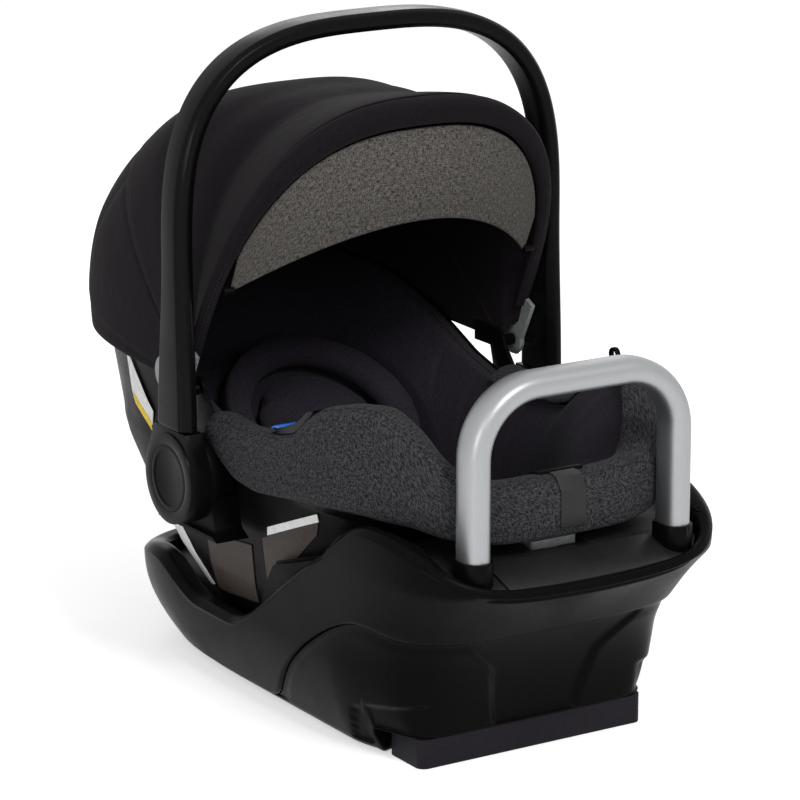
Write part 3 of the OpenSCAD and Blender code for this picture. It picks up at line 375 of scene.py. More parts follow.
def wire(tree, kind, links=(), **values):
    """New node. values set its properties or, where it has none of that name, its input sockets."""
    n = tree.nodes.new(kind)
    for key, value in values.items():
        if hasattr(n, key):
            setattr(n, key, value)
        else:
            n.inputs[key.replace("_", " ")].default_value = value
    for socket, source in links:
        tree.links.new(source, n.inputs[socket])
    return n


def noise(tree, where, **values):
    """Factor of a noise texture."""
    return wire(tree, "ShaderNodeTexNoise", [("Vector", where)], **values).outputs["Fac"]


def start_material(name, rough, specular, sheen=0.0, metallic=0.0, on="Object"):
    """New material with its constants on the shader's own sockets, and the coordinates of its textures."""
    mat = bpy.data.materials.new(name)
    mat.use_nodes = True
    tree = mat.node_tree
    shader = tree.nodes["Principled BSDF"]
    shader.inputs["Roughness"].default_value = rough
    shader.inputs["Specular IOR Level"].default_value = specular
    shader.inputs["Sheen Weight"].default_value = sheen
    shader.inputs["Sheen Roughness"].default_value = 0.5
    shader.inputs["Metallic"].default_value = metallic
    return mat, tree, shader, wire(tree, "ShaderNodeTexCoord").outputs[on]


def four(c, by=1.0):
    """A colour times a factor, with its fourth channel."""
    return (min(1, c[0]*by), min(1, c[1]*by), min(1, c[2]*by), 1)


def tint(tree, shader, factor, low, high, span=(0.0, 1.0)):
    """Base colour that goes from low to high as the factor crosses the span."""
    ramp = wire(tree, "ShaderNodeValToRGB", [("Fac", factor)])
    for stop, at, shade in zip(ramp.color_ramp.elements, span, (low, high)):
        stop.position, stop.color = at, shade
    tree.links.new(ramp.outputs["Color"], shader.inputs["Base Color"])


def dull(tree, shader, factor, low, high, **span):
    """Roughness that goes from low to high as the factor rises."""
    level = wire(tree, "ShaderNodeMapRange", [("Value", factor)], To_Min=low, To_Max=high, **span)
    tree.links.new(level.outputs["Result"], shader.inputs["Roughness"])


def relief(tree, shader, *layers):
    """Bumps laid over each other. Each layer is its height, its strength and the depth in metres."""
    links = []
    for height, strength, depth in layers:
        bump = wire(tree, "ShaderNodeBump", [("Height", height)] + links, Strength=strength, Distance=depth)
        links = [("Normal", bump.outputs["Normal"])]
    tree.links.new(bump.outputs["Normal"], shader.inputs["Normal"])


def moulded(name, base, rough=0.42, specular=0.32, grain=1100.0, depth=None, spread=0.08):
    """Moulded plastic: a fine leather grain in the surface, roughness that varies in patches where hands have
    polished it, and faint lighter scuffs."""
    depth = bpy.context.scene.car_seat_plastics.grain_depth if depth is None else depth
    mat, tree, shader, where = start_material(name, rough, specular)
    patch = noise(tree, where, Scale=11.0, Detail=4.0, Roughness=0.6)
    dull(tree, shader, patch, rough - spread, rough + spread, From_Min=0.35, From_Max=0.65)
    scuff = noise(tree, where, Scale=160.0, Detail=6.0, Roughness=0.75)
    tint(tree, shader, scuff, four(base, 0.88), four(base, 1.55), (0.35, 0.80))
    relief(tree, shader, (noise(tree, where, Scale=grain, Detail=2.0), 0.5, depth))
    return mat


def brushed(name, base, rough=0.42, stretch=(1.0, 1.0, 0.05)):
    """Satin metal: fine lines drawn out along one way, in the colour, the roughness and the surface."""
    mat, tree, shader, where = start_material(name, rough, 0.5, metallic=1.0)
    drawn = wire(tree, "ShaderNodeMapping", [("Vector", where)], Scale=stretch)
    lines = noise(tree, drawn.outputs["Vector"], Scale=1600.0, Detail=2.0)
    dull(tree, shader, noise(tree, where, Scale=22.0, Detail=3.0), rough - 0.05, rough + 0.08)
    tint(tree, shader, lines, four(base, 0.90), four(base, 1.08))
    relief(tree, shader, (lines, 0.12, 0.0001))
    return mat


def woven(name, dark, light, pitch, slub, contrast):
    """Heather cloth: warp and weft are noise drawn out along each way, so light yarn shows as short flecks.
    Crossed bands of the yarn's pitch give the weave in the surface."""
    mat, tree, shader, where = start_material(name, 0.92, 0.05, sheen=0.03, on="UV")
    flecks, bands = [], []
    for along, way in (((1000/slub, 1000/pitch, 700/pitch), "X"), ((1000/pitch, 1000/slub, 700/pitch), "Y")):
        yarn = wire(tree, "ShaderNodeMapping", [("Vector", where)], Scale=along)
        flecks.append(noise(tree, yarn.outputs["Vector"], Scale=1.0, Detail=1.5))
        bands.append(wire(tree, "ShaderNodeTexWave", [("Vector", where)], bands_direction=way,
                          Scale=0.314*1000/pitch/2, Distortion=0.6).outputs["Fac"])
    both = wire(tree, "ShaderNodeMath", enumerate(flecks), operation="MAXIMUM").outputs[0]
    weave = wire(tree, "ShaderNodeMath", enumerate(bands), operation="ADD").outputs[0]
    tint(tree, shader, both, four(dark), four(light), contrast)
    relief(tree, shader, (weave, 0.35, 0.0003), (both, 0.30, 0.0005))
    return mat


def knitted(name, base, gauge=1.3, sheen=0.10, crease=0.0012):
    """Smooth knit: small loops in the surface, a soft sheen, and slow folds where the cloth lies slack."""
    mat, tree, shader, where = start_material(name, 0.85, 0.05, sheen=sheen)
    loops = wire(tree, "ShaderNodeTexVoronoi", [("Vector", where)], Scale=1000/gauge, Randomness=0.55)
    slack = noise(tree, where, Scale=16.0, Detail=3.0, Roughness=0.5)
    yarn = noise(tree, where, Scale=420.0, Detail=3.0, Roughness=0.7)
    tint(tree, shader, yarn, four(base, 0.75), four(base, 1.45), (0.30, 0.72))
    relief(tree, shader, (loops.outputs["Distance"], 0.35, 0.0003), (slack, 0.6, crease*2))
    return mat


def webbed(name, base):
    """Seat webbing: ribs across the strap with a fine twill between, slightly glossy."""
    mat, tree, shader, where = start_material(name, 0.55, 0.30, sheen=0.05)
    rib = wire(tree, "ShaderNodeTexWave", [("Vector", where)], bands_direction="DIAGONAL", Scale=190.0,
               Distortion=1.2, Detail=1.0)
    yarn = noise(tree, where, Scale=900.0, Detail=2.0)
    tint(tree, shader, yarn, four(base, 0.6), four(base, 1.9))
    relief(tree, shader, (rib.outputs["Fac"], 0.4, 0.0004))
    return mat


def foam_material(name, base):
    """Open foam: small round cells in the surface."""
    mat, tree, shader, where = start_material(name, 0.95, 0.1)
    cells = wire(tree, "ShaderNodeTexVoronoi", [("Vector", where)], Scale=520.0).outputs["Distance"]
    tint(tree, shader, cells, four(base, 0.7), four(base, 1.3))
    relief(tree, shader, (cells, 0.5, 0.0006))
    return mat


MATERIALS = {}


def make_materials():
    """One material for each slot of the record, and a few for sewing and bare labels."""
    p, c = bpy.context.scene.car_seat_plastics, bpy.context.scene.car_seat_cloth
    MATERIALS.update({
        "base_plastic": moulded("Base black", p.shell_colour, 0.30, 0.03),
        "tray_plastic": moulded("Tray black", p.shell_colour, 0.5, 0.04),
        # The deck's colour is 3.6 times the shells' black: painted sheen, a lighter colour in place of the
        # broad soft highlight on the deck.
        "deck_plastic": moulded("Deck black with painted sheen", [3.6*c for c in p.shell_colour], 0.5, 0.30),
        "collar_plastic": moulded("Collar black", p.trim_colour, 0.4, 0.05),
        "foot_plastic": moulded("Foot grey", p.foot_colour, 0.6, 0.10),
        "tab_plastic": moulded("Tab grey", [1.5*c for c in p.pale_colour], 0.45, 0.3),
        "bar_metal": brushed("Bar silver", p.tube_colour),
        "latch_metal": brushed("Zinc plate", (0.5, 0.51, 0.52), 0.3, (0.05, 1.0, 1.0)),
        # The screws are near black with almost no specular: painted shade, standing in for the shade inside
        # the screw holes.
        "screw_metal": moulded("Screw with painted hole shade", (0.003, 0.003, 0.003), 0.5, 0.03),
        "shell_plastic": moulded("Tub black", p.shell_colour, 0.36, 0.035),
        "hub_plastic": moulded("Hub black", p.shell_colour, 0.36, 0.04),
        "button_plastic": moulded("Button black", p.trim_colour, 0.4, 0.05),
        "handle_plastic": moulded("Handle black", p.shell_colour, 0.30, 0.07),
        "buckle_plastic": moulded("Gloss black", p.trim_colour, 0.24, 0.16, grain=500.0, depth=0.00002),
        "release_red": moulded("Release red", (0.42, 0.05, 0.04), 0.28, 0.5, depth=0.00003),
        "pivot_plastic": moulded("Pivot grey", p.pale_colour, 0.5, 0.35),
        "mark_blue": moulded("Mark blue", (0.03, 0.16, 0.62), 0.3, 0.5, depth=0.00003),
        "foam": foam_material("Foam", (0.03, 0.03, 0.033)),
        "lining": knitted("Lining knit", c.lining_colour, sheen=0.04),
        "cover_cloth": woven("Cover heather", c.heather_dark, c.heather_light, 1.5, 5.0, (0.46, 0.64)),
        "canopy_cloth": knitted("Canopy knit", c.canopy_colour, sheen=0.03, crease=0.002),
        "visor_cloth": woven("Visor heather", c.visor_dark, c.visor_light, 1.1, 5.0, (0.42, 0.66)),
        "webbing": webbed("Webbing", (0.010, 0.010, 0.011)),
        "thread": moulded("Thread", (0.02, 0.018, 0.022), 0.7, 0.2, grain=2500.0),
        "label_white": moulded("Label white", (0.78, 0.79, 0.78), 0.5, 0.2, depth=0.00002),
        "label_brown": moulded("Label brown", (0.040, 0.031, 0.026), 0.45, 0.12, depth=0.00002),
        "label_yellow": moulded("Label yellow", (0.72, 0.48, 0.02), 0.5, 0.3, depth=0.00002),
    })


# ---------------------------------------------------------------- vehicle base

BASE = stations(4, 6, 190)
RIM_LEVEL = 192.0


def base_foot_end(z):
    """Foot end at height z: 404 less 101 times 1 - (z/192)^2.2."""
    return -(404 - 101*(1 - (np.minimum(z, RIM_LEVEL)/RIM_LEVEL)**2.2))


def base_head_end(z):
    """Head end at height z, drawn in by up to 60 mm towards the underside."""
    return 242 - 60*(1 - np.minimum(z, 70)/70)**2


def base_width(y, z):
    """Half width at height z, narrower towards the underside and the foot end."""
    return (170 - 28*np.maximum(0, 1 - np.minimum(z, 90)/90)**1.6 + 9*ease((z - 90)/140)
            - 16*(1 - np.minimum(1, z/140))*ease((-200 - y)/80))


def base_ring(z):
    """Ring of the base's outer face: the plan outline stretched to the ends and width that belong to height
    z, with the corners of the foot end drawn back 12 mm. Towards the recline foot these corners turn
    squarer."""
    sx, sy = BASE[:, 0], BASE[:, 1]
    z = np.broadcast_to(np.asarray(z, float), sx.shape)
    square = ease((125 - z)/97)*(sy < 0)
    out = mix(1, (np.abs(sx)**10 + np.abs(sy)**10)**-0.1, square)
    sx, sy = sx*out, sy*out
    y = mix(base_foot_end(z), base_head_end(z), (sy + 1)/2) + 12*(1 - square)*sx*sx*ease((-sy - 0.5)/0.5)
    return np.stack([base_width(y, z)*sx, y, z], axis=1)


def rim_height(y):
    """Height of the rim along the seat: high beside the foot end, low in the middle, higher at the head
    end."""
    return (80 + 158*ease((-55 - y)/230) - 46*np.clip((-290 - y)/114, 0, 1)**2
            + 26*ease((y - 10)/115) - 14*ease((y - 130)/100))


RIM_Z = rim_height(base_ring(RIM_LEVEL)[:, 1])
SEAM_Y = base_ring(100)[:, 1]
SEAM_Z = 8 + 129*ease((-48 - SEAM_Y)/195) - 7*wave((-255 - SEAM_Y)/130)
UNDER_Z = 28.3*ease((-0.725 - BASE[:, 1])/0.02)
RIM_WIDTH = table(BASE[:, 1], [[-1, 9], [-0.98, 9], [-0.93, 16], [-0.83, 28], [-0.7, 17], [-0.5, 15],
                               [-0.3, 17], [-0.15, 18], [0, 25], [1, 25]], 0.02)
SKIRT_INSET, PANEL_DEPTH, POCKET_DEPTH, LIP_DEPTH = 2.5, 4.5, 3.5, 1.6
WALL = 4.0


def lower_inset(ring):
    """How far the lower shell stands back: the skirt's inset everywhere, more in the flared panel at the
    middle of the foot end, in the low pocket beside the recline foot, and in the lip under the parting
    line."""
    x, y, z = ring.T
    half = table(z, [[20, 46], [94, 62], [112, 84], [130, 104]], 6)
    panel = ease((half - np.abs(x))/6)*ease((z - 30)/2)*(y < -200)
    top = table(y, [[-420, 84], [-365, 74], [-240, 53], [-226, 48], [-212, 10]], 3)
    pocket = ease((top - z)/4)*ease((-205 - y)/6)*ease((np.abs(x) - 112)/16)
    lip = ease((z - SEAM_Z + 16)/13)*(1 - panel)
    return SKIRT_INSET + PANEL_DEPTH*panel + POCKET_DEPTH*pocket + LIP_DEPTH*lip


def lower_ring(t, extra=0.0):
    """Ring of the lower shell a share t of the way up from its underside to the parting line."""
    ring = base_ring(mix(UNDER_Z, SEAM_Z, t))
    return grow(ring, -lower_inset(ring) - extra)


def make_base_lower():
    """Lower shell: rings from the flat underside round its edge, which is tighter over the recline foot, and
    up to the parting line, then down inside."""
    rings = [to_line(raised(base_ring(0), UNDER_Z)), raised(grow(base_ring(0), -60), UNDER_Z)]
    edge = mix(9.0, 1.6, ease(UNDER_Z/20))
    for h in (0, 0.07, 0.2, 0.4, 0.67, 1.0):
        rings.append(grow(base_ring(UNDER_Z + h*edge), -SKIRT_INSET - edge*(1 - math.sqrt(1 - (1 - h)**2))))
    start = (edge + 1)/np.maximum(SEAM_Z - UNDER_Z, 12)
    for t in np.linspace(0, 1, 42):
        rings.append(lower_ring(mix(np.minimum(start, 0.9), 0.995, t)))
    rings += [lower_ring(1.0, 0.6), lower_ring(1.0, 3.4)]
    rings += [lower_ring(t, WALL) for t in (0.97, 0.8, 0.5, 0.25)]
    low = raised(grow(base_ring(8), -16), UNDER_Z + 4)
    rings += [low, to_line(low)]
    shell = tub_piece("base_skirt", rings, MATERIALS["base_plastic"])
    return place(finish_with(shell, 1), "base", "base_plastic", "base_lower")


def rim_ring(d, dz):
    """The rim's ring moved outwards by d and up by dz."""
    return raised(grow(base_ring(RIM_Z), d), RIM_Z + dz)


def make_base_upper():
    """Upper shell with its rolled rim: up the outer face, over a rim that is a flat dome of the local width,
    down the inner lip and back down inside the wall."""
    def wall(f, d):
        return grow(base_ring(mix(SEAM_Z + 0.3, RIM_Z - 9, f)), d)

    rings = [wall(0, -3.4), wall(0, -1.8), wall(0.006, -0.6), wall(0.02, 0)]
    rings += [wall(f, 0) for f in np.linspace(0.05, 1, 15)]
    for u in (0.0, 0.04, 0.1, 0.18, 0.28, 0.42, 0.56, 0.7, 0.8, 0.88, 0.94, 0.98, 1.0):
        drop = 8*max(0, 1 - u/0.42)**2.1 + 4.5*max(0, (u - 0.68)/0.32)**2.4
        rings.append(rim_ring(-RIM_WIDTH*u, -drop))
    rings += [rim_ring(-RIM_WIDTH, -8), rim_ring(-RIM_WIDTH, -13.5), rim_ring(-RIM_WIDTH + 0.8, -14),
              rim_ring(-RIM_WIDTH + 2.8, -14), rim_ring(-RIM_WIDTH + 3.4, -12),
              rim_ring(-np.maximum(RIM_WIDTH - 4, 4.4), -7.5), rim_ring(-4.2, -8.5)]
    rings += [wall(f, -WALL) for f in (0.97, 0.75, 0.5, 0.25, 0.02, 0)]
    shell = grid_piece("base_rim", np.stack(rings), MATERIALS["base_plastic"], wrap_rows=True, wrap_cols=True)
    return place(finish_with(shell, 1), "base", "base_plastic", "base_upper")


def make_rebound_bar():
    """Bent oval tube: a U of straight legs and quarter-circle bends. Its section, carried along it, is an
    oval whose cosine and sine are raised to powers under one, which squares it a little."""
    low_corner, high_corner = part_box("rebound_bar")
    at_x, bend, half_deep, half_wide = 111.0, 62.0, 12.5, 18.0
    low, high = low_corner[2]/MM, high_corner[2]/MM - half_deep
    mid_y = (low_corner[1] + high_corner[1])/2/MM
    a = np.linspace(0, np.pi/2, 20)
    right = np.concatenate([np.stack([np.full(24, at_x), np.linspace(low, high - bend, 24)], 1)[:-1],
                            np.stack([at_x - bend + bend*np.cos(a), high - bend + bend*np.sin(a)], 1)])
    top = np.stack([np.linspace(at_x - bend, -(at_x - bend), 16), np.full(16, high)], 1)[1:-1]
    line = np.concatenate([right, top, right[::-1]*[-1, 1]])
    t = np.linspace(0, 2*np.pi, 33)[:-1]
    oval = np.stack([half_deep*signed_power(np.cos(t), 0.8), half_wide*signed_power(np.sin(t), 0.72)], axis=1)
    rings = swept_upright(line, mid_y, np.broadcast_to(oval, (len(line), 32, 2)))
    bar = grid_piece("rebound_tube", capped(rings, 3), MATERIALS["bar_metal"], wrap_cols=True)
    return place(finish_with(bar, 1), "base", "bar_metal", "rebound_bar")


# ---------------------------------------------------------------- carrier shell

HEAD_ROUND, FOOT_ROUND = 3.4, 3.6
SHELL = stations(HEAD_ROUND, FOOT_ROUND, 200)
SHELL_FORM = np.array([
    [34, -138, 52, 0.50], [42, -172, 84, 0.62], [56, -194, 118, 0.71], [80, -212, 158, 0.80],
    [113, -226, 200, 0.865], [160, -238, 247, 0.925], [205, -247, 287, 0.965], [222, -262, 297, 0.975],
    [234, -318, 303, 0.982], [248, -336, 311, 0.99], [262, -343, 318, 1], [306, -345, 337, 1],
    [360, -347, 352, 1], [400, -348, 359, 1]])
EDGE_FORM = [[-360, 276], [-338, 279], [-322, 296], [-300, 326], [-272, 344], [-235, 341], [-200, 331],
             [-180, 318], [-155, 296], [-124, 287], [-60, 281], [0, 283], [60, 300], [120, 330], [200, 358],
             [280, 370], [360, 372]]
HEM_FORM = [[-364, 219], [-340, 224], [-300, 241], [-239, 244], [-159, 235], [-89, 226], [-50, 230],
            [-36, 240]]
SHELL_HALF = 171.0
SHELL_FLOOR = 34.0
LEDGE = 234.0
BAND = 306.0


def shell_ring(z, at=None, soften=0.0):
    """Ring of the shell's outer face at height z: the plan outline between the foot and head ends of that
    height."""
    at = SHELL if at is None else at
    z = np.broadcast_to(np.asarray(z, float), at[:, 0].shape)
    foot, head, wide = (table(z, SHELL_FORM[:, [0, k]], soften) for k in (1, 2, 3))
    return np.stack([SHELL_HALF*wide*at[:, 0], mix(foot, head, (at[:, 1] + 1)/2), z], axis=1)


EDGE_Z = table(shell_ring(BAND)[:, 1], EDGE_FORM, 6)
SHELL_RIM = EDGE_Z - 16


def shell_wall(z):
    """Ring on the shell's wall, which is straight from the ledge to its rim."""
    z = np.broadcast_to(np.asarray(z, float), SHELL_RIM.shape)
    low, rim = shell_ring(LEDGE), shell_ring(SHELL_RIM)
    straight = mix(low, rim, ((z - LEDGE)/(SHELL_RIM - LEDGE))[:, None])
    below = shell_ring(z, soften=3.0)
    return np.where((z > LEDGE)[:, None], straight, below)


def make_shell():
    """Carrier shell: outer rings from the floor's centre line to a rounded rim, and back down a wall's width
    in."""
    floor = shell_ring(SHELL_FLOOR)
    rings = [to_line(floor), grow(floor, -8), grow(floor, -1.5), shell_ring(SHELL_FLOOR + 1.5, soften=0.5)]
    below = [np.linspace(38, 60, 7), np.linspace(68, 200, 16), np.arange(206, LEDGE, 3.0), [LEDGE]]
    rings += [shell_ring(z, soften=2.0 if z < 226 else 0.5) for z in np.concatenate(below)]
    rings += [shell_wall(mix(LEDGE, SHELL_RIM - 1.5, t)) for t in (0.2, 0.4, 0.6, 0.8, 1.0)]
    top = shell_ring(SHELL_RIM)
    rings += [grow(top, -0.8), raised(grow(top, -2), SHELL_RIM + 0.2), grow(top, -3.3)]
    rings += [grow(shell_wall(mix(LEDGE, SHELL_RIM - 1.5, t)), -WALL) for t in (1.0, 0.5, 0.0)]
    rings += [grow(shell_ring(z), -WALL) for z in (222, 205, 160, 113, 80, 56)]
    inner = raised(grow(shell_ring(42.0), -WALL), SHELL_FLOOR + WALL)
    rings += [inner, to_line(inner)]
    shell = tub_piece("carrier_tub", rings, MATERIALS["shell_plastic"])
    return place(finish_with(shell, 1), "carrier", "shell_plastic", "carrier_shell")


def patch_on_shell(name, corners, material, lift=0.5, thickness=0.4, steps=60):
    """Plain label on the flank: four corners (y, z) span a grid, and each point is put on the shell's
    wall."""
    a, b, c, d = np.asarray(corners, float)
    u, v = (t[..., None] for t in np.meshgrid(np.linspace(0, 1, steps), np.linspace(0, 1, steps)))
    y, z = np.moveaxis(mix(mix(a, b, u), mix(d, c, u), v), -1, 0)
    foot, head, wide = (table(z, SHELL_FORM[:, [0, k]], 2.0) for k in (1, 2, 3))
    s = 2*(y - foot)/(head - foot) - 1
    n = np.where(s > 0, HEAD_ROUND, FOOT_ROUND)
    x = -SHELL_HALF*wide*np.maximum(0, 1 - np.abs(s)**n)**(1/n)
    points = np.stack([x, y, z], axis=-1)
    up = np.cross(np.gradient(points, axis=0), np.gradient(points, axis=1))
    up /= np.maximum(np.linalg.norm(up, axis=2, keepdims=True), 1e-9)
    label = grid_piece(name, points - up*np.sign(up[..., 0:1])*lift, material, fix=False)
    if label.data.polygons[0].normal.x > 0:
        label.data.flip_normals()
    finish_with(label, 0, thickness, 1.0)
    return place(label, "carrier", "shell_plastic")


# ---------------------------------------------------------------- seat

def seat_height(y):
    """Height of the seat's floor: a V rounded by a root, lowest at y = -110."""
    return 84 + 0.72*(np.sqrt((y + 110)**2 + 3600) - 60)


def make_lining():
    """Padded liner: from the rim a crowned wall runs down over the knee of the seat to its floor. Seams
    divide it into wings, and each channel between seams swells."""
    depth = bpy.context.scene.car_seat_cloth.seam_depth
    rim, knee, floor = (grow(shell_ring(z), -d) for z, d in ((SHELL_RIM, 12), (205.0, 18), (150.0, 32)))
    floor_z = seat_height(floor[:, 1])
    top_z = SHELL_RIM - 1
    knee_z = mix(floor_z, SHELL_RIM, 0.69)
    out = [raised(grow(floor, -0.5), floor_z + 0.5), raised(grow(knee, -0.5), knee_z + 0.5),
           raised(grow(rim, -0.5), top_z - 1), raised(grow(rim, -1.5), top_z + 0.4)]
    inside = [raised(grow(rim, -10), top_z + 0.3), raised(grow(rim, -12), top_z - 2),
              raised(grow(knee, -12), knee_z + 8), raised(grow(floor, -10), floor_z + 20)]
    seams = (-0.245, -0.10, 0.055, 0.235)
    groove = sum(bell(SHELL[:, 1], s, 0.012) for s in seams)
    rings = [to_line(out[0])] + out + inside[:1]
    rings += [mix(inside[0], inside[1], 0.6)]
    for t in np.linspace(0, 1, 30):
        a, b, c = inside[1], inside[2], inside[3]
        p = (1 - t)**2*a + 2*t*(1 - t)*(b + 0.35*(b - (a + c)/2)) + t*t*c
        crown = 2.2*math.sin(math.pi*t)
        rings.append(grow(p, -crown + depth*1.6*groove*math.sin(math.pi*min(1, t*1.2 + 0.1))))
    last = rings[-1]
    rings += [mix(last, to_line(last), t) + [0, 0, -3*math.sin(math.pi*t)*0.6] for t in (0.08, 0.3, 0.6)]
    rings += [to_line(last)]
    piece = tub_piece("seat_lining", rings, MATERIALS["lining"])
    return place(finish_with(piece, 1), "carrier", "lining", "seat_liner")


def swollen(name, node, shrink, voxel, cap, frames=20):
    """Padded piece by cloth: a merged copy of the solid, a little smaller, is remeshed in even cells and
    blown up by pressure with no gravity. No point may move further than the cap from where it began."""
    settings = bpy.context.scene.car_seat_cloth
    mesh = NODES[node].data.copy()
    clean_up(mesh, 1e-5)
    mesh.materials.clear()
    obj = bpy.data.objects.new(name, mesh)
    bpy.context.scene.collection.objects.link(obj)
    cells = obj.modifiers.new("Cells", "REMESH")
    cells.mode, cells.voxel_size = "VOXEL", voxel*MM
    bake_modifiers(obj)
    count = len(obj.data.vertices)
    at, normals = np.empty(count*3), np.empty(count*3)
    obj.data.vertices.foreach_get("co", at)
    obj.data.vertex_normals.foreach_get("vector", normals)
    at = at.reshape(-1, 3) - normals.reshape(-1, 3)*shrink*MM
    obj.data.vertices.foreach_set("co", at.ravel())
    obj.data.update()
    cloth = obj.modifiers.new("Cloth", "CLOTH")
    s = cloth.settings
    s.quality, s.mass = 5, 0.3
    s.tension_stiffness = s.compression_stiffness = 15
    s.shear_stiffness, s.bending_stiffness = 5, 0.5
    s.use_pressure, s.uniform_pressure_force = True, settings.pad_pressure
    s.effector_weights.gravity = 0
    cloth.collision_settings.use_collision = False
    for f in range(1, frames + 1):
        bpy.context.scene.frame_set(f)
    bake_modifiers(obj)
    bpy.context.scene.frame_set(1)
    now = np.empty(count*3)
    obj.data.vertices.foreach_get("co", now)
    move = now.reshape(-1, 3) - at
    move -= move.mean(axis=0)
    far = np.linalg.norm(move, axis=1, keepdims=True)
    at = at + move*np.minimum(1, cap*MM/np.maximum(far, 1e-9))
    obj.data.vertices.foreach_set("co", at.ravel())
    smooth_faces(obj.data)
    obj.data.update()
    obj.data.materials.append(MATERIALS["lining"])
    return place(finish_with(obj, 1), "carrier", "lining", node)


def bake_modifiers(obj):
    """Puts the result of the modifiers into the mesh and removes them."""
    bpy.context.view_layer.update()
    done = bpy.data.meshes.new_from_object(obj.evaluated_get(bpy.context.evaluated_depsgraph_get()))
    obj.modifiers.clear()
    old, obj.data = obj.data, done
    bpy.data.meshes.remove(old)
    done.name = obj.name


def strap_piece(name, nodes, centre, half, thickness=1.6):
    """Flat webbing along a centre line in space: across it runs a section with soft edges, 11 points wide."""
    path = resample(smooth_open(centre), 48)
    way = np.gradient(path, axis=0)
    way /= np.linalg.norm(way, axis=1, keepdims=True)
    side = np.tile([1.0, 0.0, 0.0], (48, 1)) - way*way[:, 0:1]
    side /= np.linalg.norm(side, axis=1, keepdims=True)
    up = np.cross(side, way)
    up *= np.sign(up[:, 2:3].sum() or 1)
    s = np.array([-1, -0.97, -0.8, -0.4, 0, 0.4, 0.8, 0.97, 1, 0.97, 0.8, 0.4, 0, -0.4, -0.8, -0.97])
    h = np.array([0.5, 0.9, 1, 1, 1, 1, 1, 0.9, 0.5, 0.1, 0, 0, 0, 0, 0, 0.1])
    section = np.stack([s*half, h*thickness], axis=1)
    rings = swept(path, np.broadcast_to(section, (48, 16, 2)), side, up)
    strap = grid_piece(name, capped(rings, 2), MATERIALS["webbing"], wrap_cols=True)
    return place(finish_with(strap, 1), "carrier", "webbing", *nodes)


def rebuilt_strap(name, node, half):
    """Webbing in the place of a flat solid: the centre line is read from the solid's own upper face."""
    points = np.array([v.co for v in NODES[node].data.vertices])/MM
    keys, line = np.unique(np.round(points[:, 1], 0)), []
    for y in keys:
        row = points[np.abs(points[:, 1] - y) < 1.6]
        line.append([(row[:, 0].min() + row[:, 0].max())/2, row[:, 1].mean(), row[:, 2].min()])
    line = np.array(line)
    keep = np.concatenate([[True], np.diff(line[:, 1]) > 4])
    return strap_piece(name, [node], line[keep], half)


# ---------------------------------------------------------------- rim cover

COVER_HALF = np.array([p for p in SHELL if p[1] < -0.004])


def make_rim_cover():
    """Padded cover over the rim round the foot end: a crowned closed section carried along the edge, drawn in
    along a seam on top and along the hem, with slow folds in the cloth and rounded ends."""
    depth = bpy.context.scene.car_seat_cloth.seam_depth
    path = shell_ring(BAND, at=COVER_HALF)
    way = np.gradient(path, axis=0)
    way /= np.hypot(way[:, 0], way[:, 1])[:, None]
    out = np.stack([way[:, 1], -way[:, 0], np.zeros(len(way))], axis=1)
    edge = table(path[:, 1], EDGE_FORM, 8)
    hem = table(path[:, 1], HEM_FORM, 8)
    rim = edge - 15
    corners = [(1.2, rim), (-14, rim + 0.2), (-27.5, rim + 0.6), (-27.5, edge - 9), (-18, edge - 2.2),
               (-5, edge + 0.8), (7, edge - 1.6), (13.8, edge - 11), (15.2, mix(hem, edge, 0.55)),
               (14.0, mix(hem, edge, 0.16)), (8.0, hem - 1), (1.2, hem + 0.4), (1.2, mix(hem, rim, 0.5))]
    form = np.stack([np.stack([np.full(len(path), float(a)), z], axis=1) for a, z in corners], axis=1)
    form = np.stack([smooth_loop(f, 5) for f in form])
    run = distance_along(path)
    slot = np.arange(form.shape[1])/form.shape[1]*len(corners)
    seam = bell(slot, 6.3, 0.16) + 0.8*bell(slot, 9.15, 0.16)
    fold = 0.5*np.sin(run/31)[:, None]*np.sin(slot*1.3 + run[:, None]/47) + 0.35*np.sin(run/13 + 1)[:, None]
    outer = ((slot > 3) & (slot < 9.6)).astype(float)
    mid = form.mean(axis=1, keepdims=True)
    ray = form - mid
    ray /= np.maximum(np.linalg.norm(ray, axis=2, keepdims=True), 1e-9)
    form = form + ray*((fold*outer[None, :] - depth*seam[None, :])[..., None])
    points = path[:, None, :]*[1, 1, 0] + form[..., 0:1]*out[:, None, :]
    points = np.concatenate([points[..., :2], form[..., 1:2]], axis=2)
    cover = grid_piece("rim_cover_cloth", capped(points, 6, 5.0), MATERIALS["cover_cloth"], wrap_cols=True)
    place(finish_with(cover, 1), "carrier", "cover_cloth", "rim_cover")
    pitch = bpy.context.scene.car_seat_cloth.stitch_pitch
    for name, at, rise in (("rim_cover_top_stitch", 6.05, 0.8), ("rim_cover_hem_stitch", 8.9, 0.0)):
        line = points[4:-4, int(round(at/len(corners)*form.shape[1]))]
        row = stitches(name, line, (out + [0, 0, rise])[4:-4], MATERIALS["thread"], pitch, lift=0.2)
        place(row, "carrier", "cover_cloth")
    return cover


# ---------------------------------------------------------------- handle

